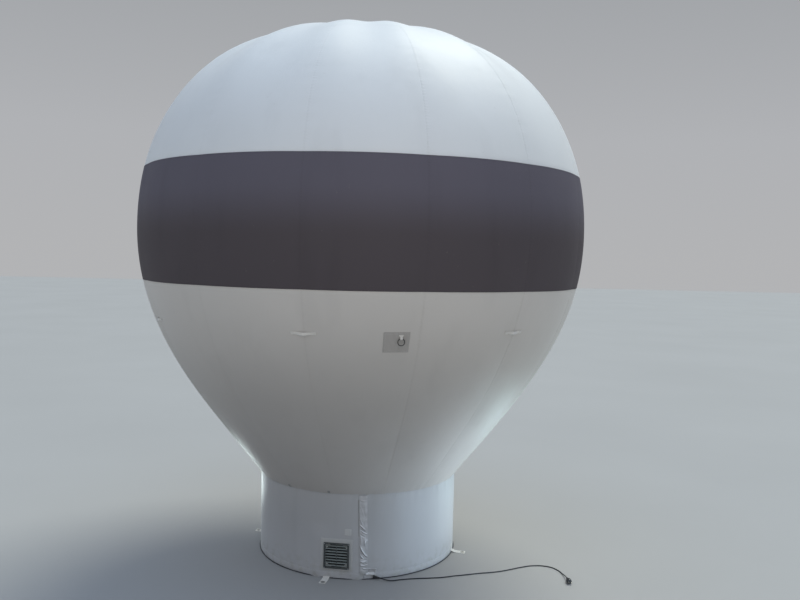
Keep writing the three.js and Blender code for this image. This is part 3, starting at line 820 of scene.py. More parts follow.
def add_gores(prefix, low, high, rows, material, slot, neighbours):
    width, length, area = flat_size(low, high)
    for k in range(GORES):
        name = f"{prefix}_{k + 1:02d}"
        points, maps = panel(k * GORE_ANGLE, low, high, rows)
        add_sheet(name + "_cloth", points, maps, material, slot,
                  (width + 2 * TUCK, length + 2 * TUCK), neighbours, [name], area)


def add_band():
    s = np.linspace(S_BAND_LOW, S_BAND_HIGH, 53)[:, None]
    r = outline.at(s)[0]
    columns = [(k * GORE_ANGLE + a * GORE_ANGLE / 2, a) for k in range(GORES) for a in ACROSS[:-1]]
    columns.append((GORES * GORE_ANGLE - GORE_ANGLE / 2, -1.0))
    azimuth, across = np.array(columns).T
    ends = np.minimum(s - S_BAND_LOW, S_BAND_HIGH - s)
    side = (1 + across) * r * GORE_ANGLE / 2
    points = skin(azimuth, s, lapped(side) + lapped(ends, 0.004) + 0.0006, across)
    maps = cloth_maps(r * azimuth, s, side, ends)
    width, length, area = flat_size(S_BAND_LOW, S_BAND_HIGH)
    add_sheet("band_cloth", points, maps, DARK, "dark_cloth", (width * GORES, length),
              ["lower_gore_01_cloth", "dome_gore_01_cloth"], ["band"], area * GORES)


def add_crown():
    """A doubled disc over the ends of the gores, with three rings of stitches."""
    s = np.append(S_CROWN, np.linspace(S_CROWN + 0.004, outline.length, 14))[:, None]
    points = skin(angles(GORES * 8), s, 0.0012)
    maps = cloth_maps(points[..., 0], points[..., 1], 0.5, s - S_CROWN)
    points[-1] = [0, 0, points[-1, :, 2].mean()]
    add_sheet("crown_cloth", points, maps, TRIM, "trim_cloth", (2 * CROWN_R, 2 * CROWN_R),
              ["dome_gore_01_cloth"], ["crown_disc"], pi * CROWN_R**2, wrap=True, weld=True)
    ring = np.linspace(0, CIRCLE, 240)
    add_threads("crown_threads", [
        (skin(ring, S_CROWN + inset, 0.0016), [0, 0, 1.0]) for inset in (0.007, 0.014, 0.1)
    ])


# Skirt


def inlet_hole(centres):
    """Tells which of the skirt's quads lie in the opening behind the inlet's patch."""
    x, y, z = centres.T
    c, s = cos(INLET_AZIMUTH), sin(INLET_AZIMUTH)
    away = np.maximum(np.abs(x * c + y * s), np.abs(z - INLET_Z))
    return (away < SKIRT_HOLE_HALF) & (x * s - y * c > 0)


def add_skirt():
    z = np.concatenate([
        [0.0004, 0.006, 0.013, 0.02, 0.027, 0.034, 0.04, 0.045, 0.05, 0.056],
        np.linspace(0.07, SKIRT_TOP - 0.05, 34),
        SKIRT_TOP - np.array([0.035, 0.024, 0.016, 0.012, 0.008, 0.0, -0.01])
    ])[:, None]
    halves = (("skirt_right", FLAP_AZIMUTH, None), ("skirt_left", FLAP_AZIMUTH + pi, inlet_hole))
    for name, begin, hole in halves:
        azimuth = np.linspace(begin, begin + pi, 169)
        points = skirt_skin(azimuth, z, lapped(SKIRT_TOP - z))
        points[-1] = skin(azimuth, 0.012, -CLOTH - 0.0012)
        side = np.minimum(azimuth - begin, begin + pi - azimuth) * SKIRT_R
        maps = cloth_maps(azimuth * SKIRT_R, z, side, SKIRT_TOP - z)
        add_sheet(name + "_cloth", points, maps, SKIRT, "lower_cloth", (pi * SKIRT_R, SKIRT_TOP),
                  ["base_floor_cloth", "lower_gore_01_cloth"], [name], hole=hole)
    ring = np.linspace(0, CIRCLE, 600)
    lines = [(skirt_skin(ring, height, 0.0003), place(1.0, ring, 0.0)) for height in HEM_STITCHES]
    add_threads("hem_threads", lines, pitch=0.0085, length=0.0066, radius=0.0007)


def add_base_floor():
    """The cloth floor under the skirt, faintly rumpled."""
    r = np.append(FLOOR_R, np.linspace(0.78, 0.0, 26))[:, None]
    turn = angles(96)
    ruck = 0.0012 * (1 + np.sin(r * 31 + 2 * np.sin(3 * turn))) * smooth(0, 0.1, r) * smooth(0.79, 0.7, r)
    points = place(r, turn, 0.003 + ruck)
    maps = cloth_maps(points[..., 0], points[..., 1], 0.5, FLOOR_R - r)
    add_sheet("base_floor_cloth", points, maps, LOWER_SHADED, "lower_cloth", (2 * FLOOR_R, 2 * FLOOR_R),
              ["skirt_left"], ["base_floor"], pi * FLOOR_R**2, thick=0.002, wrap=True, weld=True)


def add_hem_rope():
    """Three strands laid round the hem; their near-black tone also paints the shadow line at its foot."""
    turns = 160
    along = angles(turns * 9)[:, None]
    sides = angles(6)
    strands = []
    for first in angles(3):
        lay = along * turns + first
        ring_r = ROPE_RING_R + STRAND_LAY * np.cos(lay) + STRAND_R * np.cos(sides)
        ring_z = ROPE_R + 0.0003 + STRAND_LAY * np.sin(lay) + STRAND_R * np.sin(sides)
        points = place(ring_r, along, ring_z)
        quads = grid_quads(*points.shape[:2], True, True)[:, ::-1]
        strands.append(quad_mesh("strand", points.reshape(-1, 3), quads))
    add_joined("hem_rope_laid", strands, ROPE, replaced=["hem_rope"], sharp=80)


# Air inlet

INLET = Matrix.Rotation(INLET_AZIMUTH, 4, "Z")
INLET_MIDDLE = INLET @ Matrix.Translation((0, 0, INLET_Z))


def square_point(turn, half):
    c, s = np.cos(turn), np.sin(turn)
    reach = half / np.maximum(np.abs(c), np.abs(s))
    return reach * c, reach * s


def add_patch():
    """A square of doubled cloth with a round hole, on the skirt where it lies flat."""
    turn = angles(128)
    share = np.linspace(1, 0, 13)[:, None]
    sx, sz = square_point(turn, PATCH_HALF)
    hole = DUCT_R + 0.0003
    x = hole * np.cos(turn) + (sx - hole * np.cos(turn)) * share
    z = hole * np.sin(turn) + (sz + PATCH_RISE - hole * np.sin(turn)) * share
    edge = PATCH_HALF - np.maximum(np.abs(x), np.abs(z - PATCH_RISE * share))
    puff = 0.0009 * smooth(0, 0.012, edge) + 0.0007 * smooth(0.016, 0.01, edge)
    points = skirt_skin(INLET_AZIMUTH + np.arctan2(x, PATCH_FRONT), INLET_Z + z, CLOTH + puff)
    side = 2 * PATCH_HALF
    add_sheet("inlet_patch_cloth", points, cloth_maps(x, z, 0.5, edge), INLET_CLOTH, "trim_cloth",
              (side, side), ["skirt_left_cloth"], ["inlet_patch"], side**2 - pi * hole**2,
              thick=0.0022, wrap=True)
    lines = []
    for inset in (0.005, 0.013):
        sx, sz = square_point(np.linspace(0, CIRCLE, 480), PATCH_HALF - inset)
        azimuth = INLET_AZIMUTH + np.arctan2(sx, PATCH_FRONT)
        line = skirt_skin(azimuth, INLET_Z + PATCH_RISE + sz, CLOTH + 0.0022)
        lines.append((line, place(1.0, INLET_AZIMUTH, 0.0)))
    add_threads("inlet_patch_threads", lines)


def bar(low, high, bevel, tilt=0.0, at=(0, 0, 0)):
    return boxed(low, high, bevel, INLET @ Matrix.Translation(at) @ Matrix.Rotation(tilt, 4, "X"))


def add_grille():
    """A moulded frame with sloping slats on a centre rib, and a screw in each corner."""
    back = PATCH_FRONT + 0.0003
    front = back + GRILLE_DEPTH
    outer, inner = GRILLE_HALF, GRILLE_OPENING_HALF
    parts = []
    for sign in (-1, 1):
        low, high = sorted((sign * outer, sign * inner))
        parts.append(bar((low, -front, INLET_Z - outer), (high, -back, INLET_Z + outer), 0.0022))
        parts.append(bar((-outer, -front, INLET_Z + low), (outer, -back, INLET_Z + high), 0.0022))
        low, high = sorted((sign * inner, sign * (inner - 0.003)))
        parts.append(bar((low, -front + 0.003, INLET_Z - inner), (high, -back, INLET_Z + inner), 0.0008))
    parts.append(bar((-0.003, -front + 0.005, INLET_Z - inner), (0.003, -back, INLET_Z + inner), 0.001))
    add_joined("inlet_grille_frame", parts, GRILLE, replaced=["inlet_grille"])
    pitch = 2 * inner / SLATS
    slats = []
    for i in range(SLATS):
        at = (0, -(back + front) / 2, INLET_Z - inner + (i + 0.5) * pitch)
        slats.append(bar((-inner, -0.0058, -0.0011), (inner, 0.0058, 0.0011), 0.0009, SLAT_TILT, at))
    add_joined("inlet_grille_slats", slats, SLATS_LIT_PLASTIC, replaced=["inlet_grille"])
    head = [(0, 0.0012), (0.0012, 0.0012), (0.0014, 0.002), (0.0032, 0.0018), (0.0041, 0.0006),
            (0.0042, -0.002), (0, -0.002)]
    middle = (outer + inner) / 2
    spots = [(x, -front, INLET_Z + z) for x in (-middle, middle) for z in (-middle, middle)]
    screws = [lathe_mesh("screw", head, INLET @ Matrix.Translation(spot), 20) for spot in spots]
    add_joined("grille_screws", screws, STEEL)


def add_duct():
    bore, wall, front = DUCT_BORE_R, DUCT_R, PATCH_FRONT
    profile = [(bore, DUCT_BACK), (bore, front - 0.001), (bore + 0.001, front), (wall - 0.001, front),
               (wall, front - 0.001), (wall, DUCT_BACK), (bore, DUCT_BACK)]
    duct = lathe_mesh("inlet_duct_moulded", profile, INLET_MIDDLE, 72)
    add("inlet_duct_moulded", duct, BLADES_PLASTIC, replaced=["inlet_duct"])


def add_fan():
    """Hub with a domed nose, and twisted blades."""
    back, tip = FAN_BACK, FAN_BACK + FAN_DEPTH
    nose = [(0, tip), (0.008, tip - 0.0006), (0.017, tip - 0.003), (0.025, tip - 0.008),
            (0.029, tip - 0.014), (0.03, back + 0.01), (0.03, back), (0.012, back), (0, back)]
    parts = [lathe_mesh("hub", nose, INLET_MIDDLE, 40)]
    radius = np.linspace(BLADE_ROOT, BLADE_TIP, 12)[:, None]
    chord = np.linspace(-0.5, 0.5, 9)
    share = (radius - BLADE_ROOT) / BLADE_REACH
    pitch = radians(48) - share * radians(20)
    width = 0.021 + 0.013 * np.sin(share * pi * 0.55)
    camber = 0.0024 * (1 - (2 * chord) ** 2)
    x = chord * width * np.cos(pitch) + share**1.5 * 0.009
    y = -(back + FAN_DEPTH / 2) + chord * width * np.sin(pitch) - camber
    blade = stacked(x, y, radius)
    for turn in angles(BLADES):
        matrix = INLET_MIDDLE @ Matrix.Rotation(turn, 4, "Y")
        parts.append(sheet_mesh("blade", moved(blade, matrix), thick=0.0018))
    add_joined("fan_wheel_moulded", parts, BLADES_PLASTIC, "fan", ["fan_wheel"])


def add_blower():
    """Casing with rounded edges and ribs, with the motor's nose in front."""
    half, front, back, top = 0.15, 0.69, 0.39, 0.34
    parts = [bar((-half, -front, 0.0103), (half, -back, top), 0.018)]
    for k in range(5):
        z = 0.06 + k * 0.055
        parts.append(bar((-half - 0.003, 0.03 - front, z), (half + 0.003, -back - 0.03, z + 0.008), 0.002))
    tip = FAN_BACK - 0.0003
    motor = [(0, tip), (0.012, tip), (0.012, front + 0.022), (0.02, front + 0.02), (0.048, front + 0.018),
             (0.055, front + 0.012), (0.055, front - 0.01), (0, front - 0.01)]
    parts.append(lathe_mesh("motor", motor, INLET_MIDDLE, 40))
    add_joined("blower_moulded", parts, CASE, replaced=["blower"])


# Zip cover


def flap_point(across, z, proud):
    """across runs from -1 to 1 over the flap's width; its foot is drawn to the right."""
    share = (z - FLAP_LOW) / (FLAP_HIGH - FLAP_LOW)
    x = across * FLAP_WIDTH / 2 + FLAP_LEAN * (0.5 - share)
    return skirt_skin(FLAP_AZIMUTH + x / SKIRT_R, z, proud)


# Crinkles of the zip cover: start, middle and end of each, as part of the half width and height,
# then its width and how far it stands out
CRINKLES = (
    (-0.8, 0.600, -0.1, 0.585, 0.7, 0.592, 0.010, 0.0010),
    (-0.9, 0.560, -0.2, 0.520, 0.1, 0.470, 0.009, 0.0012),
    (0.5, 0.570, 0.3, 0.520, 0.6, 0.480, 0.009, 0.0010),
    (-0.8, 0.470, -0.6, 0.430, -0.1, 0.405, 0.008, 0.0018),
    (0.8, 0.455, 0.4, 0.440, 0.3, 0.410, 0.008, 0.0014),
    (-0.9, 0.412, -0.2, 0.395, 0.5, 0.372, 0.008, 0.0046),
    (-0.9, 0.385, -0.1, 0.366, 0.7, 0.352, 0.007, -0.0030),
    (-0.5, 0.372, 0.1, 0.352, 0.9, 0.345, 0.007, 0.0042),
    (-0.9, 0.350, -0.4, 0.330, 0.3, 0.325, 0.008, -0.0022),
    (-0.7, 0.335, -0.5, 0.290, -0.6, 0.245, 0.008, 0.0028),
    (0.3, 0.325, 0.2, 0.285, 0.5, 0.245, 0.009, 0.0026),
    (0.9, 0.300, 0.5, 0.290, 0.1, 0.262, 0.007, 0.0016),
    (-0.9, 0.262, -0.5, 0.226, 0.2, 0.196, 0.008, 0.0050),
    (-0.9, 0.232, -0.3, 0.196, 0.4, 0.180, 0.006, -0.0034),
    (-0.4, 0.222, 0.2, 0.190, 0.9, 0.172, 0.008, 0.0046),
    (-0.9, 0.196, -0.5, 0.170, 0.1, 0.156, 0.007, 0.0030),
    (-0.8, 0.166, 0.0, 0.150, 0.8, 0.152, 0.006, -0.0036),
    (-0.8, 0.142, -0.1, 0.132, 0.6, 0.140, 0.008, 0.0048),
    (0.2, 0.128, 0.5, 0.118, 0.9, 0.122, 0.006, -0.0022),
    (-0.9, 0.116, -0.2, 0.104, 0.4, 0.108, 0.008, 0.0030),
    (-0.3, 0.092, 0.2, 0.080, 0.9, 0.084, 0.008, 0.0028)
)


def crinkled(x, z):
    """How far the crinkles lift the zip cover at a place on it."""
    lift = 0
    t = np.linspace(0, 1, 15)[:, None, None]
    for *bend, width, height in CRINKLES:
        sides = (FLAP_WIDTH / 2 * a for a in bend[::2])
        cx, cz = ((1 - t) ** 2 * a + 2 * t * (1 - t) * b + t**2 * c for a, b, c in (sides, bend[1::2]))
        away = np.sqrt((x - cx) ** 2 + (z - cz) ** 2)
        along = away.argmin(0) / (len(t) - 1)
        fade = smooth(0, 0.25, along) * smooth(1, 0.7, along)
        lift = lift + 2.0 * height * (0.25 + 0.75 * fade) * bell(away.min(0), width * 0.5)
    return lift


def add_zip_flap():
    """A strip over the zip, sewn along its left edge, with crinkles that gather in two places."""
    z = np.linspace(FLAP_LOW, FLAP_HIGH, 280)[:, None]
    across = np.linspace(-1, 1, 25)
    x = across * FLAP_WIDTH / 2
    waver = 0.0008 * np.sin(z * 47 + 3 * across) + 0.0006 * np.sin(z * 113 + 1)
    ends = smooth(FLAP_LOW, FLAP_LOW + 0.015, z) * smooth(FLAP_HIGH, FLAP_HIGH - 0.015, z)
    belly = 0.0018 * (1 - across**2) + 0.0012 * smooth(0.3, 1, across)
    lift = crinkled(x, z) * smooth(-1.05, -0.7, across) + waver * smooth(-1, -0.6, across)
    proud = np.maximum(0.0034 + belly + ends * lift, 0.0021)
    # Painted light and shade: lighter where a crinkle's face turns up, darker where it turns down
    painted_light = np.clip(0.5 - 0.42 * np.gradient(ends * lift, z[:, 0], axis=0), 0, 1)
    add_sheet("zip_flap_cloth", flap_point(across, z, proud),
              cloth_maps(x, z, x + FLAP_WIDTH / 2, 0.5, painted_light), FLAP, "trim_cloth",
              (FLAP_WIDTH, FLAP_CUT), ["skirt_right_cloth", "skirt_left_cloth"], ["zip_flap"],
              thick=0.0012, sharp=70)
    # The zip's tape, shown only where the cover's left edge throws its shadow: partly real tape, partly
    # painted shadow.
    z = np.linspace(TAPE_LOW, TAPE_HIGH, 50)[:, None]
    across = np.linspace(-1.17, -0.8, 6)
    add_sheet("zip_tape", flap_point(across + 0.03 * np.sin(z * 31), z, 0.0018),
              cloth_maps(across * FLAP_WIDTH / 2, z, 0.5, 0.5), SHADE_TAPE, "trim_cloth",
              (TAPE_WIDTH, 0.27), ["skirt_left_cloth"], thick=0.0009)
    z = np.linspace(FLAP_LOW + 0.006, FLAP_HIGH, 300)
    lines = [(flap_point(side, z, 0.0042), place(1.0, FLAP_AZIMUTH, 0.0)) for side in (-0.9, -0.66)]
    add_threads("zip_flap_threads", lines)


def add_zip_foot():
    """The zip's slider, and the loose end of its tape folded over to the right."""
    u = np.linspace(0, 1, 44)
    v = np.linspace(0, 1, 36)[:, None]
    x = 0.022 + u * 0.076 + 0.003 * v
    z = 0.036 + v * 0.052 - 0.004 * u
    rims = 0.0042 * bell(v - 0.93, 0.06) + 0.0048 * bell(u - 0.95, 0.05)
    roll = 0.0085 * bell(v - 0.1 - 0.05 * np.sin(u * 5), 0.15) * smooth(1, 0.8, u)
    slack = 0.0009 * np.sin(u * 13 + v * 5) * smooth(0, 0.2, u)
    # Painted light and shade: a painted highlight on the fold's lower bar and its rims, painted shade above
    # the bar
    painted_light = 0.28 + 0.72 * smooth(0.5, 0.38, v) * smooth(0.02, 0.12, v) * smooth(0.95, 0.8, u) + 110 * rims
    azimuth = FLAP_AZIMUTH + x / SKIRT_R
    maps = cloth_maps(azimuth * SKIRT_R, z, 0.5, 0.052 * np.minimum(v, 1 - v), np.clip(painted_light, 0, 1))
    add_sheet("zip_tape_end", skirt_skin(azimuth, z, 0.0036 + rims + roll + slack), maps, FLAP,
              "trim_cloth", (0.082, 0.062), ["skirt_right_cloth"], held="folded", thick=0.0012, sharp=70)
    at = Matrix.Translation((FLAP_LEAN / 2, -(SKIRT_R + 0.0022), 0.036))
    at = Matrix.Rotation(FLAP_AZIMUTH, 4, "Z") @ at
    body = boxed((-0.005, -0.0045, -0.006), (0.005, 0.0, 0.008), 0.0015, at)
    bridge = boxed((-0.0016, -0.0075, -0.004), (0.0016, -0.0035, 0.006), 0.0008, at)
    puller = boxed((-0.0035, -0.0072, -0.021), (0.0035, -0.0052, -0.003), 0.0008, at)
    add_joined("zip_slider", [body, bridge, puller], STEEL)


# Small sewn tags, and dark patches that paint shade at seam ends. The skirt's tag: azimuth in degrees,
# height of its middle, width, height

SKIRT_TAG = (-4.9, 0.356, 0.05, 0.046)
JOIN_SHADE_TAGS = (("join_shade_tag_1", -39.8), ("join_shade_tag_2", -15.5))


def add_tags():
    """A blank tag on the skirt, and two dark patches in the skirt's top seam that paint the shade of tucked
    seam ends.
    """
    degrees, height, wide, high = SKIRT_TAG
    x = np.linspace(-wide / 2, wide / 2, 13)
    y = np.linspace(-high / 2, high / 2, 13)[:, None]
    edge = np.minimum(wide / 2 - np.abs(x), high / 2 - np.abs(y))
    proud = 0.0016 + 0.0006 * smooth(0, 0.006, edge)
    add_sheet("skirt_tag", skirt_skin(radians(degrees) + x / SKIRT_R, height + y, proud),
              cloth_maps(x, y, 0.5, edge), INLET_CLOTH, "trim_cloth", (wide, high), ["skirt_left_cloth"],
              thick=0.0016)
    x, y = rectangle(wide / 2 - 0.004, 0.004 - high / 2, high / 2 - 0.004, 120)
    azimuth = radians(degrees) + x / SKIRT_R
    add_threads("skirt_tag_threads", [(skirt_skin(azimuth, height + y, 0.0024), place(1.0, azimuth, 0.0))])
    x = np.linspace(-0.009, 0.009, 7)
    up = np.linspace(0, 1, 9)[:, None]
    for name, degrees in JOIN_SHADE_TAGS:
        azimuth = radians(degrees) + x / SKIRT_R
        points = skin(azimuth, 0.002 + 0.03 * up, 0.0014 + 0.003 * np.sin(up * 2.8) ** 2)
        add_sheet(name, points, cloth_maps(x, 0.03 * up, 0.5, 0.03 * up + 0.02), SHADE_TAPE, "trim_cloth",
                  (0.018, 0.031), ["lower_gore_14_cloth", "skirt_left_cloth"], thick=0.0012)


# Webbing


def add_strap(name, path, side, width, thick=WEB_THICK, columns=9):
    """A strap along a path. side points to its right at each point of the path; its outer face is
    to the left of the way along, seen with the right side down."""
    path, side = np.asarray(path, float), np.broadcast_to(side, np.shape(path))
    width = np.broadcast_to(width, len(path))[:, None]
    across = np.linspace(-0.5, 0.5, columns) * width
    points = path[:, None, :] + side[:, None, :] * across[..., None]
    s = distances(path)[:, None]
    maps = cloth_maps(across, s, width / 2 - np.abs(across), np.minimum(s, s[-1] - s))
    mesh = sheet_mesh(name + "_strap", points, thick=thick, maps=maps, sharp=50)
    return add(name + "_strap", mesh, WEB, replaced=[name])


# A sewn box with a cross in it, from corner to corner: around the strap, and up the envelope
BOX_STITCH = (
    (-0.009, -0.007), (-0.009, 0.007), (0.009, 0.007), (0.009, -0.007),
    (-0.009, -0.007), (0.009, 0.007), (-0.009, 0.007), (0.009, -0.007)
)


def add_loops():
    """Straps sewn flat on the seams at both ends, standing off in between."""
    s_loop = outline.at_height(LOOP_Z)
    r, _, nr, nz = outline.at(s_loop)
    x = np.linspace(-LOOP_HALF, LOOP_HALF, 60)
    rise = LOOP_RISE * (0.5 + 0.5 * np.cos(pi * np.minimum(np.abs(x) / LOOP_ARCH_HALF, 1)))
    lean = LOOP_LEAN * rise[:, None] / LOOP_RISE
    across, along = cornered(BOX_STITCH, 120)
    for k in range(LOOPS):
        middle = -GORE_ANGLE / 2 + 2 * k * GORE_ANGLE
        name = f"webbing_loop_{k + 1}"
        path = skin(middle + x / r, s_loop, rise + WEB_THICK + 0.0006)
        down = place(nr, middle, nz) * np.sin(lean) - place(-nz, middle, nr) * np.cos(lean)
        add_strap(name, path, down, WEB_WIDTH, columns=7)
        lines = []
        for side in (-1, 1):
            azimuth = middle + (across + side * (LOOP_HALF + LOOP_ARCH_HALF) / 2) / r
            lines.append((skin(azimuth, along + s_loop, WEB_THICK + 0.0008), place(nr, azimuth, nz)))
        add_threads(name + "_threads", lines, "webbing", pitch=0.0035, length=0.0028, radius=0.0005)


def add_tether_patch():
    """A doubled square of cloth, pulled up a little where the tab is sewn to it."""
    s_middle = outline.at_height(TETHER_Z)
    r, _, nr, nz = outline.at(s_middle)
    wide, high = TETHER_WIDTH / 2, TETHER_HEIGHT / 2
    x = np.linspace(-wide, wide, 29)
    y = np.linspace(-high, high, 25)[:, None]
    edge = np.minimum(wide - np.abs(x), high - np.abs(y))
    pulled = 0.0016 * np.exp(-((x - 0.028) ** 2 + (y - 0.03) ** 2) / 0.0009)
    ruck = 0.0005 * np.sin(x * 160 + y * 60) * smooth(0, 0.02, edge)
    proud = 0.0018 + 0.0008 * smooth(0, 0.01, edge) + pulled + ruck
    add_sheet("tether_patch_cloth", skin(TETHER_AZIMUTH + x / r, s_middle + y, proud),
              cloth_maps(x, y, 0.5, edge), PATCH, "lower_cloth", (TETHER_WIDTH, TETHER_HEIGHT),
              ["lower_gore_01_cloth"], ["tether_patch"], thick=0.0018)
    lines = []
    for inset in (0.005, 0.0115):
        x, y = rectangle(wide - inset, inset - high, high - inset, 240)
        azimuth = TETHER_AZIMUTH + x / r
        lines.append((skin(azimuth, s_middle + y, 0.0028), place(nr, azimuth, nz)))
    add_threads("tether_patch_threads", lines)


def add_tether_ring():
    """A steel ring that hangs in a webbing tab."""
    low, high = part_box("tether_ring")
    centre = (low + high) / 2
    pivot = Vector((centre.x, centre.y, high.z - RING_WIRE_R))
    _, _, nr, nz = outline.at(outline.at_height(pivot.z))
    out, up = place(nr, RING_AZIMUTH, nz), place(-nz, RING_AZIMUTH, nr)
    aside = np.array([cos(RING_AZIMUTH), sin(RING_AZIMUTH), 0])
    turn = np.radians(np.linspace(98, -192, 26))
    off = -RING_STANDOFF
    side_view = np.vstack([
        [(off + 0.0069, TAB_TAIL), (off + 0.0069, 0.019), (off + 0.0082, 0.0135), (off + 0.0105, 0.0095)],
        0.0075 * np.stack([np.cos(turn), np.sin(turn)], -1),
        [(off + 0.0042, 0.007), (off + 0.0031, 0.012), (off + 0.0029, 0.018), (off + 0.0029, TAB_TAIL)]
    ])
    path = np.array(pivot) + side_view[:, :1] * out + side_view[:, 1:] * up
    wide = TAB_WIDTH + 0.012 * smooth(0.0095, 0.0165, side_view[:, 1])
    add_strap("tether_tab", path, -aside, wide, 0.002)

    around = np.linspace(0, CIRCLE, 73)[:, None]
    section = angles(14)
    ring_r = RING_R + RING_WIRE_R * np.cos(section)
    local = stacked(
        ring_r * np.sin(around), RING_WIRE_R * np.sin(section), ring_r * np.cos(around) - RING_R
    )
    matrix = Matrix.Translation(pivot) @ Matrix.Rotation(RING_AZIMUTH, 4, "Z")
    points = moved(local.reshape(-1, 3), matrix)
    ring = quad_mesh("tether_ring_steel", points, grid_quads(73, 14, True), weld=True)
    add("tether_ring_steel", ring, RING_STEEL, "ring", ["tether_ring"])


def add_anchor_tabs():
    """Straps from the skirt's wall, over the hem rope, to an eyelet on the ground."""
    face = SKIRT_R + 0.0006
    over = 2 * ROPE_R + 0.001
    knots = np.array([
        (face, ANCHOR_UP), (face, 0.045), (face + 0.0004, 0.028), (face + 0.002, over + 0.006),
        (face + 0.007, over + 0.0032), (face + 0.014, over + 0.0018), (face + 0.025, over - 0.0035),
        (face + 0.036, 0.0042), (face + 0.046, 0.0029), (face + 0.07, 0.0027), (ANCHOR_TIP, 0.0027)
    ])
    keys = distances(knots)
    radius, height = follow(np.linspace(0, keys[-1], 60), keys, knots).T
    path = stacked(0, -radius, height + 0.0002)
    inner, outer = EYELET_R - 0.0004, EYELET_R + 0.0062
    grommet = [(inner, 0.0001), (inner, 0.0034), (EYELET_R + 0.001, 0.0041), (EYELET_R + 0.0045, 0.0036),
               (outer, 0.0029), (outer, 0.0001), (inner, 0.0001)]
    for k in range(ANCHORS):
        turn = Matrix.Rotation(ANCHOR_FIRST + k * pi / 2, 4, "Z")
        name = f"anchor_tab_{k + 1}"
        side = np.array(turn @ Vector((1, 0, 0)))
        strap = add_strap(name, moved(path, turn)[::-1], side, ANCHOR_WIDTH)
        punch_hole(strap, turn @ Matrix.Translation((0, -EYELET_AT, 0.0015)))
        upright = turn @ Matrix.Translation((0, -EYELET_AT, 0)) @ Matrix.Rotation(pi / 2, 4, "X")
        ring = lathe_mesh("eyelet", grommet, upright @ Matrix.Rotation(pi, 4, "X"), 36)
        add(f"anchor_eyelet_{k + 1}", ring, DARK_STEEL)
        lines = []
        for wide, low, high in ((0.02, 0.024, 0.057), (0.016, 0.028, 0.053)):
            x, z = rectangle(wide, low, high, 90)
            box = moved(stacked(x, -face - 0.0008, z), turn)
            lines.append((box, np.array(turn @ Vector((0, -1, 0)))))
        add_threads(f"anchor_threads_{k + 1}", lines, "webbing", pitch=0.0045, length=0.0036, radius=0.0006)


def punch_hole(obj, matrix):
    """Cuts a round hole for an eyelet."""
    soft = bmesh.new()
    bmesh.ops.create_cone(soft, cap_ends=True, segments=36, radius1=EYELET_R, radius2=EYELET_R,
                          depth=0.02, matrix=matrix)
    cutter = linked("cutter", hardened("cutter", soft))
    cut = obj.modifiers.new("hole", "BOOLEAN")
    cut.operation, cut.object, cut.solver = "DIFFERENCE", cutter, "EXACT"
    bpy.context.view_layer.update()
    done = bpy.data.meshes.new_from_object(obj.evaluated_get(bpy.context.evaluated_depsgraph_get()))
    obj.modifiers.clear()
    obj.data = done
    bpy.data.objects.remove(cutter)


# Mains lead

BOOT_BASE = place(SKIRT_R * cos(FACET / 2) + 0.01, BOOT_AZIMUTH, BOOT_Z)
BOOT_WAY = place(1.0, BOOT_AZIMUTH + BOOT_TURN, 0.0)


def along_boot(distance, z):
    return [*(BOOT_BASE + BOOT_WAY * distance)[:2], z]


# The lead's bends on the floor, and all its points, from the boot's tip to the back of the plug
LEAD_BENDS = (
    (0.322, -0.812), (0.430, -0.790), (0.548, -0.779), (0.640, -0.766), (0.730, -0.738),
    (0.819, -0.716), (0.940, -0.684), (1.020, -0.668), (1.101, -0.645), (1.190, -0.606),
    (1.272, -0.566), (1.355, -0.535), (1.440, -0.531), (1.515, -0.565), (1.556, -0.630)
)
LEAD_ROUTE = [
    along_boot(BOOT_LENGTH + 0.0006, BOOT_Z),
    along_boot(BOOT_LENGTH + 0.01, BOOT_Z),
    along_boot(BOOT_LENGTH + 0.026, 0.0155),
    [0.252, -0.838, 0.008],
    *([x, y, LEAD_LIE] for x, y in LEAD_BENDS),
    [1.569, -0.690, 0.006],
    [1.573, -0.735, 0.013],
    [1.574, -0.770, PLUG_Z - 0.0006],
    [1.575, -0.800, PLUG_Z]
]


def between(a, b, start, end, t):
    return a + (b - a) * (t - start) / (end - start)


def smooth_curve(points):
    """A centripetal Catmull-Rom curve through points."""
    points = np.asarray(points, float)
    padded = np.vstack([2 * points[0] - points[1], points, 2 * points[-1] - points[-2]])
    found = []
    for a, b, c, d in zip(padded, padded[1:], padded[2:], padded[3:]):
        ka, kb, kc, kd = np.cumsum([0, *(np.linalg.norm(step) ** 0.5 for step in (b - a, c - b, d - c))])
        t = np.linspace(kb, kc, 10, endpoint=False)[:, None]
        ab, bc, cd = between(a, b, ka, kb, t), between(b, c, kb, kc, t), between(c, d, kc, kd, t)
        abc, bcd = between(ab, bc, ka, kc, t), between(bc, cd, kb, kd, t)
        found.append(between(abc, bcd, kb, kc, t))
    return np.vstack([*found, points[-1:]])


def pointing(origin, way):
    """A frame at a point whose outward axis, -Y, points along a way, with Z up."""
    turn = atan2(way[0], -way[1])
    return Matrix.Translation(origin) @ Matrix.Rotation(turn, 4, "Z")


def ribbed(start, end, from_r, to_r, ribs):
    """A tapered, ribbed strain relief's profile."""
    profile = []
    for i in range(ribs):
        for part, swell in ((0.08, 1.0), (0.5, 1.0), (0.62, 0.86), (0.95, 0.86)):
            share = (i + part) / ribs
            profile.append(((from_r + (to_r - from_r) * share) * swell, start + (end - start) * share))
    return profile


